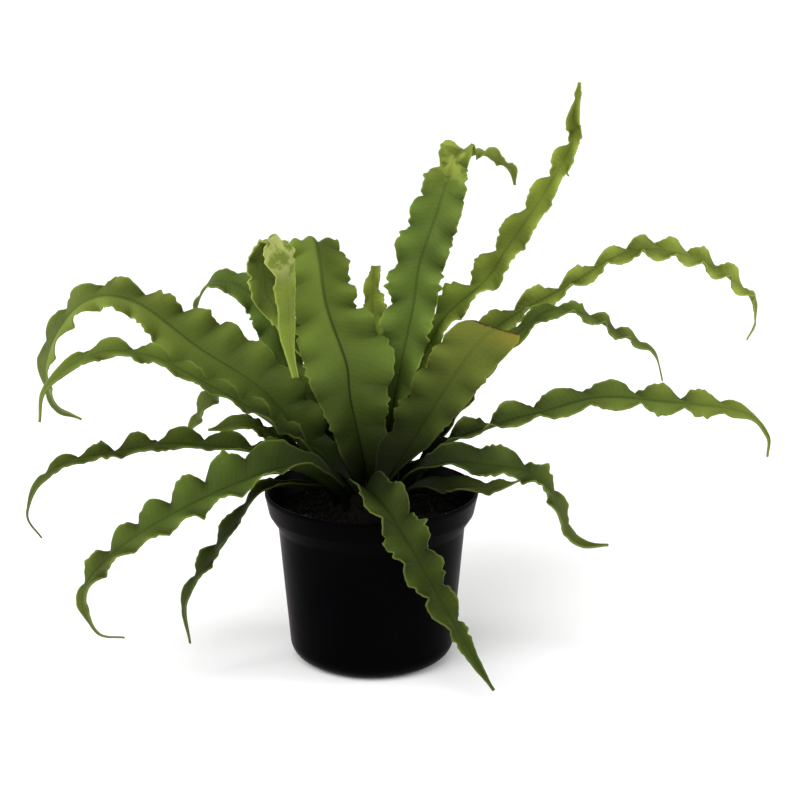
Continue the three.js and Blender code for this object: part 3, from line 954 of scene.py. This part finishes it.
    def surface(self, share: np.ndarray, across: np.ndarray) -> np.ndarray:
        """Points of the ruffled middle surface.

        Args:
            share: places along the frond, from 0 to 1.
            across: places across it, from -1 at one margin to 1 at the other.

        Returns:
            One row of x, y and z in millimetres for each place.
        """
        q, side = np.abs(across), np.sign(across)
        ahead = self.midrib.ahead(share)
        width_way = self.aside - (ahead @ self.aside)[:, None] * ahead
        width_way /= np.linalg.norm(width_way, axis=1)[:, None]
        up = np.cross(ahead, width_way)
        start, end = np.radians(self.turn)
        turn = ((start + (end - start) * share) * ease(share, 0.0, RULES.turned * self.stalk))[:, None]
        width_way, up = (np.cos(turn) * width_way + np.sin(turn) * up,
                         np.cos(turn) * up - np.sin(turn) * width_way)
        half = self.half_width(share)
        steep, flat, opened = self.fold
        lift = np.radians(steep + (flat - steep) * ease(share, self.stalk, opened))
        growth = self.ruffle(share, half)
        wave = np.where(side > 0, self.wave[1], self.wave[0]) * growth * q**RULES.wave_growth
        lobe = self.lobe(share, across)
        frill, tatter = self.frills(share, side) * self.crimp * growth * q**4
        reach = half * q * (1 - RULES.gather * growth) + RULES.lobe_reach * growth * q * q * lobe + tatter
        rise = reach * np.sin(lift) + RULES.lobe_height * wave * lobe + frill
        place, height = self.knobs
        near = np.abs(share - place) * self.midrib.length
        turns = RULES.knob_turns * across
        knob = np.sin(turns + 0.6) + 0.8 * np.sin(0.45 * turns - 0.4)
        rise += height * knob * (1 - ease(near, 0.0, RULES.knob_length))
        back = -side * reach * self.slant * ease(share, RULES.slant_start, 1.0)
        return (self.midrib.at(share) + ahead * back[:, None]
                + width_way * (side * reach * np.cos(lift))[:, None] + up * rise[:, None])

    def normal(self, share: np.ndarray, across: np.ndarray) -> np.ndarray:
        """The surface's upward directions.

        Args:
            share: places along the frond, from 0 to 1.
            across: places across it, from -1 to 1.

        Returns:
            One unit vector for each place.
        """
        step, gap = RULES.look_along / self.midrib.length, RULES.look_across
        along = (self.surface(np.minimum(share + step, 1), across)
                 - self.surface(np.maximum(share - step, 0), across))
        aside = (self.surface(share, np.minimum(across + gap, 1))
                 - self.surface(share, np.maximum(across - gap, -1)))
        up = np.cross(along, aside)
        return up / np.linalg.norm(up, axis=1)[:, None]

    def build(self) -> bpy.types.Object:
        """A grid is given its thickness, then moved onto the ruffled surface.

        Returns:
            The frond's piece, which stands for its solid.
        """
        rows = int(self.midrib.length / RULES.step)
        mesh = bmesh.new()
        bmesh.ops.create_grid(mesh, x_segments=rows, y_segments=self.columns, size=1.0)
        shell = bmesh.ops.extrude_face_region(mesh, geom=mesh.faces[:], use_keep_orig=True)
        upper = [item for item in shell["geom"] if isinstance(item, bmesh.types.BMVert)]
        bmesh.ops.translate(mesh, verts=upper, vec=(0, 0, 1))
        grid = np.array([vert.co for vert in mesh.verts])
        share, across, top = (grid[:, 0] + 1) / 2, grid[:, 1], grid[:, 2] > 0.5
        offset = self.thickness(share, np.abs(across)) / 2 * np.where(top, 1.0, -1.0)
        place = (self.surface(share, across) + self.normal(share, across) * offset[:, None]) * MM
        half = self.half_width(share)
        # crest: the lobes' height, which the finish turns into painted shade and highlight.
        crest = self.lobe(share, across) * np.abs(across) * np.minimum(1.0, self.ruffle(share, half))
        leaf = mesh.verts.layers.float_vector.new("leaf")
        rim = mesh.verts.layers.float_vector.new("leaf_rim")
        for index, vert in enumerate(mesh.verts):
            vert.co = place[index]
            reached = share[index] * self.midrib.length * MM
            vert[leaf] = (across[index] * half[index] * MM, share[index], reached)
            vert[rim] = ((1 - abs(across[index])) * half[index] * MM, 0.0 if top[index] else 1.0,
                         crest[index])
        soften(mesh)
        bmesh.ops.recalc_face_normals(mesh, faces=mesh.faces[:])
        return piece_from(mesh, self.name.replace("frond", "blade"), [self.finish.material()],
                          self.name)


FRONDS = [
    Frond("frond_left_great", 160, (10, 185), (-35, -48), (4, 5, 0),
          [(0.1, 21), (0.22, 40), (0.42, 46), (0.6, 22), (0.84, 21), (0.93, 12)],
          [(31, 113), (55, 140), (73, 154), (104, 170), (135, 190), (152, 196), (170, 195), (188, 182),
           (202, 158), (203, 138), (196, 126), (182, 121)], finish=GREAT, columns=22),
    Frond("frond_left_narrow", 184, (15, 200), (-20, -35), (3.5, 3, 90),
          [(0.4, 13), (0.75, 13)],
          [(36, 123, 5), (62, 144, 6), (94, 163, 2), (121, 177), (147, 180), (167, 171), (180, 158),
           (183, 141)], finish=NARROW, columns=12),
    Frond("frond_left_level", 188, (22, 180), (-20, -10), (4, 1.5, 40),
          [(0.45, 19), (0.75, 12)],
          [(46, 117), (79, 125), (112, 129), (145, 125), (170, 120), (185, 108), (191, 91), (184, 78)],
          finish=SHADOWED),
    Frond("frond_left_drooping", 208, (22, 224), (-25, -10), (4.5, 4, 150),
          [(0.08, 15), (0.2, 29), (0.36, 36), (0.55, 28), (0.72, 16), (0.85, 8)],
          [(50, 117), (83, 113), (119, 102), (148, 89), (167, 74), (172, 60), (164, 42), (150, 37)],
          finish=DROOPING, columns=20),
    Frond("frond_left_low", 200, (22, 202), (-10, -10), (3, 1.5, 200),
          [(0.4, 9), (0.62, 14), (0.8, 8)],
          [(40, 104), (62, 105), (77, 91), (94, 69), (109, 46), (107, 20)],
          finish=DIM, slot=LeafSlot.DARK, columns=12),
    Frond("frond_back_left_hook", 150, (22, 137), (-10, -55), (3, 3, 20),
          [(0.5, 17), (0.82, 16)],
          [(38, 111), (58, 129), (76, 142), (93, 145), (107, 137), (119, 122), (127, 106)],
          finish=DROOPING, slot=LeafSlot.DARK, calm=(0.9, 1.1), columns=12),
    Frond("frond_left_small", 172, (22, 158), (0, -40), (3, 3, 70),
          [(0.5, 14), (0.85, 10)],
          [(49, 122), (69, 133), (93, 129)], finish=DROOPING, calm=(0.9, 1.1), columns=10),
    Frond("frond_back_left_curled", 138, (15, 150), (-30, -30), (4, 4, 10),
          [(0.4, 24), (0.6, 27), (0.75, 20), (0.9, 15)],
          [(30, 117), (50, 138, 0), (69, 155, -4), (90, 181, -11), (108, 197, -6), (124, 199),
           (136, 190), (142, 178)], finish=SOFT, tip=8, crimp=1.4, columns=16),
    Frond("frond_folded_over", 125, (15, 119), (0, 0), (3, 3, 120),
          [(0.3, 15), (0.45, 17), (0.57, 26), (0.68, 21), (0.85, 12)],
          [(30, 118, -4), (49, 150, -2), (62, 180, 14), (67, 200, 25), (68, 213, 27), (67, 227, 27),
           (61, 235, 26), (54, 229, 25), (48, 214, 25), (42, 191, 28), (37, 176, 30), (29, 161, 31)],
          finish=BRIGHT, slot=LeafSlot.YOUNG, tip=4, crimp=1.3, knobs=(0.68, 1.1),
          columns=16),
    Frond("frond_middle_broad", 100, (12, 102), (0, 0), (4.5, 4.5, 60),
          [(0.07, 24), (0.2, 42), (0.42, 57), (0.66, 41), (0.88, 32)],
          [(16, 116, 3), (24, 144, 8), (29, 161, 9), (36, 173, 12), (45, 186, 16), (56, 198, 18),
           (68, 211, 18), (80, 224, 19), (94, 222, 21), (101, 207, 22)],
          finish=RIBBED, tip=14, calm=(1.2, 1.3), fold=(46, -18, 0.8), crimp=1.6,
          knobs=(0.87, 1.6), columns=24),
    Frond("frond_back_middle", 88, (15, 88), (0, 0), (4, 4, 170),
          [(0.6, 21)],
          [(30, 118, 1), (50, 150, 2), (70, 178, 2), (88, 195, 3), (102, 204, 2)],
          finish=FRESH, slot=LeafSlot.DARK, tip=6, calm=(0.9, 1), crimp=1.4),
    Frond("frond_tall_middle", 76, (15, 58), (0, 0), (4.5, 4.5, 30),
          [(0.13, 21), (0.35, 34), (0.52, 34), (0.64, 31), (0.77, 20), (0.84, 12), (0.93, 8)],
          [(24, 119, -3), (39, 153, -6), (53, 190, -11), (62, 215, -13), (74, 242, -20),
           (93, 268, -25), (104, 274, -27), (112, 272, -33), (122, 268, -42), (135, 260, -51),
           (142, 249, -52)], finish=TALL, calm=(0.85, 1), crimp=1.5, columns=20),
    Frond("frond_tall_right", 54, (22, 54), (10, 10), (5, 5, 80),
          [(0.35, 22), (0.6, 20), (0.8, 13), (0.92, 8), (0.97, 5)],
          [(34, 116, 6), (46, 135, 8), (59, 157, 8), (77, 181, 4), (107, 199, -4), (134, 217, -4),
           (166, 238, -4), (203, 261, 0), (214, 272, 2), (210, 283), (215, 304)],
          finish=FRESH, slot=LeafSlot.YOUNG, pitch=31, calm=(0.95, 1.1)),
    Frond("frond_right_broad_cut", 32, (10, 308), (25, 45), (3, 4, 0),
          [(0.12, 15), (0.3, 33), (0.55, 39), (0.85, 38)],
          [(24, 123, -6), (42, 144, -4), (58, 160, -1), (73, 173, 1), (84, 180, 0)],
          finish=CUT, slot=LeafSlot.YOUNG, tip=29, slant=0.6, fold=(42, 10, 0.9), blunt=0.25,
          columns=22),
    Frond("frond_right_arch_high", 38, (22, 32), (0, 45), (-4, 5, 60),
          [(0.36, 17), (0.46, 11), (0.55, 10), (0.68, 19), (0.8, 18), (0.9, 13), (0.96, 7)],
          [(34, 112, 6), (60, 140, 15), (103, 173, 13), (148, 194, 2), (196, 209), (248, 199),
           (298, 171), (309, 150), (302, 138)], finish=MELLOW, pitch=29, calm=(0.85, 1)),
    Frond("frond_right_arch_small", 30, (22, 10), (0, 35), (-3, 3.5, 110),
          [(0.5, 12), (0.8, 12)],
          [(38, 111, 0), (62, 132, 8), (92, 162, 13), (118, 185, 4), (136, 184), (152, 177),
           (167, 168), (187, 157), (196, 149), (201, 134)],
          finish=DROOPING, calm=(0.85, 1), columns=12),
    Frond("frond_right_level", 5, (22, 348), (15, 40), (-2.5, 4, 10),
          [(0.2, 13), (0.45, 20), (0.7, 18), (0.83, 13), (0.91, 4)],
          [(39, 121, 0), (72, 134, 0), (95, 140), (128, 148), (163, 145), (209, 138), (225, 124),
           (226, 111)], finish=LEVEL, pitch=26, calm=(0.75, 0.9)),
    Frond("frond_right_low_arch", 345, (15, 330), (40, 10), (3.5, 2.5, 60),
          [(0.2, 16), (0.45, 26), (0.68, 14), (0.9, 8)],
          [(40, 116), (68, 117), (89, 115), (103, 104), (112, 83), (121, 76), (135, 77)],
          finish=ARCHING, crimp=1.5, columns=18),
    Frond("frond_right_inside_rim", 330, (22, 316), (20, 10), (3, 2, 90),
          [(0.4, 18), (0.8, 15)],
          [(40, 104), (62, 109), (82, 112), (93, 118)], finish=INSIDE, slot=LeafSlot.DARK),
    Frond("frond_front_hanging", 296, (15, 274), (10, 0), (-3.5, 3.5, 20),
          [(0.2, 27), (0.35, 28), (0.53, 24), (0.66, 17), (0.82, 8)],
          [(21, 105, -14), (38, 107, -16), (58, 104, -17), (71, 95, -15), (80, 83, -11), (90, 63, -3),
           (96, 46, 5), (101, 29, 13), (102, 11, 24)], finish=DUSKY, crimp=1.7, columns=20),
    Frond("frond_back_right", 70, (22, 76), (0, 0), (4, 4, 100),
          [(0.22, 14), (0.45, 36), (0.75, 26)],
          [(42, 109, -2), (68, 125, -4), (97, 135, -4), (126, 132, -3), (148, 112)],
          finish=SHADED, slot=LeafSlot.DARK, fold=(20, 8, 0.5), columns=18),
    Frond("frond_back_centre", 97, (22, 96), (0, 0), (4, 4, 10),
          [(0.5, 26)],
          [(42, 114), (68, 133), (100, 146), (134, 142), (158, 120)],
          finish=SHADED, slot=LeafSlot.DARK),
    Frond("frond_back_left", 120, (22, 116), (0, 0), (4, 4, 140),
          [(0.5, 22)],
          [(42, 111), (68, 128), (96, 137), (126, 131), (146, 108)],
          finish=SHADED, slot=LeafSlot.DARK),
]


def turned(profile: list[tuple[float, float]], sides: int) -> bmesh.types.BMesh:
    """Spins a profile about the pot's axis into a closed shape.

    Args:
        profile: radius and height of each point in millimetres, from the axis back to the axis.
        sides: number of steps round the turn.

    Returns:
        A bmesh in metres with its faces pointing out.
    """
    mesh = bmesh.new()
    verts = [mesh.verts.new((radius * MM, 0, height * MM)) for radius, height in profile]
    edges = [mesh.edges.new(pair) for pair in zip(verts, verts[1:])]
    bmesh.ops.spin(mesh, geom=verts + edges, cent=(0, 0, 0), axis=(0, 0, 1), angle=2 * math.pi,
                   steps=sides, use_merge=True)
    bmesh.ops.remove_doubles(mesh, verts=mesh.verts[:], dist=1e-6)
    bmesh.ops.recalc_face_normals(mesh, faces=mesh.faces[:])
    return mesh


@dataclass
class NurseryPot:
    """Thin round pot with a stepped rim band, a rounded foot and drain holes, in millimetres."""

    height: float = 98.0
    rim_radius: float = 60.0
    band_radius: float = 57.8
    band_height: float = 12.0
    step_height: float = 8.0
    body_radius: float = 52.6
    foot_radius: float = 46.6
    foot_round: float = 11.0
    floor_round: float = 6.6
    wall: float = 1.6
    floor: float = 2.0
    drain_holes: int = 6
    drain_radius: float = 4.0
    drain_circle: float = 29.0
    recess: tuple[float, float] = (20.0, 0.7)
    lip: tuple[tuple[float, float], ...] = ((0.25, 2.6), (0.0, 2.0), (0.0, 0.6), (0.3, 0.12),
                                            (0.8, 0.0), (1.4, 0.2))
    lip_inside: float = 0.7
    drill_depth: float = 12.0
    drill_sides: int = 28
    sides: int = 144
    plastic: PotPlastic = PotPlastic()

    def profile(self) -> list[tuple[float, float]]:
        """Outline of the wall, from the underside's middle, over the lip and back to the floor.

        Returns:
            Radius and height of each point, in millimetres.
        """
        step_top = self.height - self.band_height
        step_foot = step_top - self.step_height
        centre = self.foot_radius - self.foot_round
        foot = [(centre + self.foot_round * math.sin(a), self.foot_round * (1 - math.cos(a)))
                for a in np.linspace(0, math.pi / 2, 13)]
        body = [(self.foot_radius + (self.body_radius - self.foot_radius) * t,
                 self.foot_round + (step_foot - self.foot_round) * t) for t in np.linspace(0.15, 0.98, 8)]
        lip = [(self.rim_radius - inward, self.height - down) for inward, down in self.lip]
        return [(0, self.recess[1]), self.recess, (self.recess[0] + 1, 0), *foot, *body,
                (self.body_radius + 0.35, step_foot + 0.5), (self.band_radius - 0.4, step_top - 0.7),
                (self.band_radius, step_top + 0.3), *lip,
                (self.rim_radius - self.wall, self.height - self.lip_inside),
                (self.band_radius - self.wall, step_top), (self.body_radius - self.wall, step_foot),
                (self.foot_radius - self.wall, self.foot_round + 1),
                (self.foot_radius - self.floor_round, self.floor), (0, self.floor)]

    def build(self) -> bpy.types.Object:
        """The moulded pot.

        Returns:
            The pot's piece, which stands for its solid.
        """
        mesh = turned(self.profile(), self.sides)
        soften(mesh)
        pot = piece_from(mesh, "nursery_pot", [self.plastic.material()], "pot")
        self.drill(pot)
        return pot

    def drill(self, pot: bpy.types.Object) -> None:
        """Cuts the drain holes through the floor.

        Args:
            pot: the pot's piece, whose mesh is replaced by the drilled one.
        """
        cutter = bmesh.new()
        for index in range(self.drain_holes):
            place = around(self.drain_circle, 2 * math.pi * index / self.drain_holes, 0) * MM
            bmesh.ops.create_cone(cutter, cap_ends=True, segments=self.drill_sides,
                                  radius1=self.drain_radius * MM, radius2=self.drain_radius * MM,
                                  depth=self.drill_depth * MM, matrix=Matrix.Translation(place))
        data = as_data(cutter, "drill")
        drill = placed("drill", data)
        cut = pot.modifiers.new("holes", "BOOLEAN")
        cut.object, cut.operation, cut.solver = drill, "DIFFERENCE", "EXACT"
        graph = bpy.context.evaluated_depsgraph_get()
        holed = bpy.data.meshes.new_from_object(pot.evaluated_get(graph))
        pot.modifiers.remove(cut)
        pot.data = holed
        bpy.data.objects.remove(drill)
        bpy.data.meshes.remove(data)


@dataclass
class PottingMix:
    """Damp, crumbly mix that fills the pot to under its rim, with loose bits on top, in millimetres."""

    level: float = 85.0
    mound: float = 2.5
    socket: float = 27.3
    outer: float = 54.6
    side: tuple[tuple[float, float], ...] = ((38.5, 2.3), (44.6, 11.0), (50.6, 78.0))
    rings: int = 26
    sides: int = 120
    lump: float = 1.1
    lump_pitch: float = 160.0
    crumbs: int = 420
    crumb: tuple[float, float] = (0.5, 1.5)
    chunk: tuple[float, float] = (1.4, 2.4)
    chunk_every: int = 9
    grit_every: int = 17
    chip: float = 0.18
    chip_pitch: float = 900.0
    seed: int = 7

    def top(self, radius: float) -> float:
        """Height of the smooth surface at a distance from the axis."""
        t = min(1.0, max(0.0, (self.outer - radius) / (self.outer - self.socket)))
        return self.level + self.mound * t * t * (3 - 2 * t)

    def build(self) -> list[bpy.types.Object]:
        """The mix and the bits that lie on it.

        Returns:
            The two pieces.
        """
        rise = [(r, self.top(r)) for r in np.linspace(self.outer - 0.3, 6.0, self.rings)]
        side = [(0, self.side[0][1]), *self.side, (self.outer, self.level - 0.6)]
        mesh = turned([*side, *rise, (0, self.top(0))], self.sides)
        for vert in mesh.verts:
            radius = vert.co.xy.length / MM
            if vert.co.z / MM > self.level - 0.3 and radius < self.outer - 1:
                rough = noise.fractal(vert.co * self.lump_pitch, 0.9, 2.2, 4)
                vert.co.z += self.lump * MM * rough
        soften(mesh)
        mix = piece_from(mesh, "potting_mix", [DampShadedMix().material()], "soil")
        return [mix, self.scatter()]

    def scatter(self) -> bpy.types.Object:
        """Bits of bark and white grit that lie on the mix.

        Returns:
            The piece that holds all of them.
        """
        chance = random.Random(self.seed)
        mesh = bmesh.new()
        for index in range(self.crumbs):
            radius = math.sqrt(chance.uniform((self.socket + 1) ** 2, (self.outer - 2.5) ** 2))
            a = chance.uniform(0, 2 * math.pi)
            size = chance.uniform(*(self.crumb if index % self.chunk_every else self.chunk))
            place = around(radius, a, self.top(radius) + 0.3 * size) * MM
            spin = Matrix.Rotation(chance.uniform(0, 6.28), 4, Vector((chance.uniform(-1, 1),
                                   chance.uniform(-1, 1), 1)).normalized())
            flat = Matrix.Diagonal((size * MM, size * MM * chance.uniform(0.5, 1), size * MM * 0.5, 1))
            made = bmesh.ops.create_icosphere(mesh, subdivisions=1, radius=1.0,
                                              matrix=Matrix.Translation(place) @ spin @ flat)
            for vert in made["verts"]:
                spot = vert.co * self.chip_pitch + Vector((index, 0, 0))
                vert.co += self.chip * size * MM * noise.noise_vector(spot)
            for face in {f for v in made["verts"] for f in v.link_faces}:
                face.material_index = int(index % self.grit_every == 0)
        return piece_from(mesh, "mix_crumbs", [BARK.material(), GRIT.material()], None)


@dataclass
class Rootstock:
    """The scaly crown that the stalks grow from, with thin wiry roots, in millimetres."""

    radius: float = 26.6
    foot: float = 68.0
    shoulder: float = 87.5
    top: float = 96.6
    buried: float = 84.0
    lump: float = 0.9
    lump_pitch: float = 120.0
    sides: int = 72
    scales: int = 260
    scale_length: tuple[float, float] = (2.5, 6.0)
    scale_half: tuple[float, float] = (0.5, 1.1)
    scale_sunk: float = 0.6
    roots: int = 46
    root_start: float = 24.5
    root_end: tuple[float, float] = (32.0, 50.0)
    root_radius: float = 0.42
    root_taper: float = 0.93
    root_spots: int = 9
    mix_from: float = 27.5
    seed: int = 11

    def rise(self, radius: float) -> float:
        """Height of the crown's surface at a distance from the axis."""
        t = min(1.0, radius / self.radius)
        return self.shoulder + (self.top - self.shoulder) * (1 - t**2.6)

    def build(self) -> list[bpy.types.Object]:
        """The crown, its scales and its roots.

        Returns:
            The three pieces.
        """
        dome = [(r, self.rise(r)) for r in np.linspace(self.radius, 3.0, 14)]
        profile = [(0, self.foot), (self.radius - 3, self.foot), (self.radius, self.foot + 3), *dome,
                   (0, self.rise(0))]
        mesh = turned(profile, self.sides)
        for vert in mesh.verts:
            if vert.co.z > self.buried * MM:
                lump = noise.fractal(vert.co * self.lump_pitch, 0.9, 2.1, 3)
                vert.co += Vector((vert.co.x, vert.co.y, 0.02)).normalized() * self.lump * MM * lump
        soften(mesh)
        fibre = FIBRE.material()
        crown = piece_from(mesh, "rootstock", [fibre], "crown")
        return [crown, self.shed_scales(), self.spread_roots(fibre)]

    def shed_scales(self) -> bpy.types.Object:
        """Small papery scales that point up and out all over the crown.

        Returns:
            The piece that holds all of them.
        """
        chance = random.Random(self.seed)
        mesh = bmesh.new()
        for _ in range(self.scales):
            radius = math.sqrt(chance.uniform(3.0**2, (self.radius - 0.6) ** 2))
            a = chance.uniform(0, 2 * math.pi)
            lean = math.radians(chance.uniform(15, 75)) * radius / self.radius + 0.15
            long = chance.uniform(*self.scale_length)
            place = around(radius, a, self.rise(radius) - self.scale_sunk) * MM
            tilt = Matrix.Rotation(a, 4, "Z") @ Matrix.Rotation(lean, 4, "Y")
            shape = Matrix.Diagonal((0.25 * MM, chance.uniform(*self.scale_half) * MM, long * MM, 1))
            matrix = Matrix.Translation(place) @ tilt @ shape @ Matrix.Translation((0, 0, 0.5))
            bmesh.ops.create_cone(mesh, cap_ends=True, segments=6, radius1=1.0, radius2=0.05, depth=1.0,
                                  matrix=matrix)
        return piece_from(mesh, "rootstock_scales", [SCALE.material()], None)

    def spread_roots(self, fibre: bpy.types.Material) -> bpy.types.Object:
        """Thin roots that creep from the crown over the mix.

        Args:
            fibre: the crown's finish.

        Returns:
            The piece that holds all of them.
        """
        chance = random.Random(self.seed + 1)
        mix = PottingMix()
        mesh = bmesh.new()
        for _ in range(self.roots):
            a = chance.uniform(0, 2 * math.pi)
            bend = chance.uniform(-0.5, 0.5)
            end = chance.uniform(*self.root_end)
            spots = []
            for t in np.linspace(0, 1, self.root_spots):
                radius = self.root_start + (end - self.root_start) * t
                turn = a + bend * t * t + 0.05 * math.sin(9 * t + a)
                height = mix.top(radius) + 0.35 if radius > self.mix_from else self.rise(radius) + 0.25
                spots.append(around(radius, turn, height) * MM)
            ahead = (spots[1] - spots[0]).to_track_quat("Z", "Y").to_matrix().to_4x4()
            ring = bmesh.ops.create_circle(mesh, cap_ends=True, segments=6, radius=self.root_radius * MM,
                                           matrix=Matrix.Translation(spots[0]) @ ahead)
            caps = {face for vert in ring["verts"] for face in vert.link_faces}
            for near, far in zip(spots, spots[1:]):
                grown = bmesh.ops.extrude_face_region(mesh, geom=list(caps))
                if near is not spots[0]:
                    bmesh.ops.delete(mesh, geom=list(caps), context="FACES_ONLY")
                verts = [item for item in grown["geom"] if isinstance(item, bmesh.types.BMVert)]
                caps = {item for item in grown["geom"] if isinstance(item, bmesh.types.BMFace)}
                bmesh.ops.translate(mesh, verts=verts, vec=far - near)
                bmesh.ops.scale(mesh, verts=verts, vec=(self.root_taper,) * 3,
                                space=Matrix.Translation(-far))
        soften(mesh)
        bmesh.ops.recalc_face_normals(mesh, faces=mesh.faces[:])
        return piece_from(mesh, "wiry_roots", [fibre], None)


@dataclass
class Studio:
    """Pale floor, soft lights and the camera at the photo's angle, in metres."""

    target: tuple[float, float, float] = (0.016, 0.0, 0.150)
    distance: float = 1.194
    elevation: float = 15.6
    lens: float = 96.714
    film: float = 36.0
    floor_size: float = 6.0
    floor_tone: float = 0.96
    sky_strength: float = 0.7
    sun_strength: float = 1.9
    sun_spread: float = 45.0
    sun_from: tuple[float, float, float] = (-0.6, -0.9, 1.3)
    strips: tuple[tuple[str, tuple[float, float, float]], ...] = (("left_strip", (-1.0, 0.1, 0.35)),
                                                                  ("right_strip", (1.0, 0.0, 0.35)))
    strip_size: float = 0.5
    strip_power: float = 5.0

    def build(self) -> None:
        """Makes the floor, the sky, the lights and the camera."""
        self.floor()
        self.sky()
        self.daylight()
        for name, place in self.strips:
            self.strip(name, place)
        self.camera()

    def floor(self) -> None:
        """A wide pale floor that the pot stands on."""
        mesh = bmesh.new()
        bmesh.ops.create_grid(mesh, x_segments=2, y_segments=2, size=self.floor_size)
        data = as_data(mesh, "floor")
        g = Graph("floor_white", 0.9, 0.1)
        g.shader.inputs["Base Color"].default_value = (self.floor_tone,) * 3 + (1,)
        data.materials.append(g.material)
        floor = placed("floor", data)

    def sky(self) -> None:
        """Even white light from all round."""
        world = bpy.data.worlds.new("studio")
        world.use_nodes = True
        light = world.node_tree.nodes["Background"].inputs
        light["Color"].default_value = (1, 1, 1, 1)
        light["Strength"].default_value = self.sky_strength
        bpy.context.scene.world = world
        bpy.context.scene.view_settings.view_transform = "Standard"

    def daylight(self) -> None:
        """Soft, broad light from high up, in front and to the left."""
        data = bpy.data.lights.new("daylight", "SUN")
        data.energy = self.sun_strength
        data.angle = math.radians(self.sun_spread)
        daylight = placed("daylight", data)
        daylight.rotation_euler = Vector(self.sun_from).to_track_quat("Z", "Y").to_euler()

    def strip(self, name: str, place: tuple[float, float, float]) -> None:
        """A square soft light that faces the plant.

        Args:
            name: its name.
            place: where it stands.
        """
        data = bpy.data.lights.new(name, "AREA")
        data.size = self.strip_size
        data.energy = self.strip_power
        strip = placed(name, data)
        strip.location = place
        strip.rotation_euler = (Vector(self.target) - Vector(place)).to_track_quat("-Z", "Y").to_euler()

    def camera(self) -> None:
        """The camera at the photo's viewing angle."""
        tilt = math.radians(self.elevation)
        data = bpy.data.cameras.new("camera")
        data.lens = self.lens
        data.sensor_width = self.film
        camera = placed("camera", data)
        back = Vector((0, -math.cos(tilt), math.sin(tilt)))
        camera.location = Vector(self.target) + back * self.distance
        camera.rotation_euler = back.to_track_quat("Z", "Y").to_euler()
        bpy.context.scene.camera = camera


def main() -> None:
    """Builds the studio, the pot and what it holds, and every frond."""
    logging.basicConfig(level=logging.INFO, format="%(name)s: %(message)s")
    Studio().build()
    NurseryPot().build()
    PottingMix().build()
    Rootstock().build()
    for frond in FRONDS:
        frond.build()


if __name__ == "__main__":
    main()
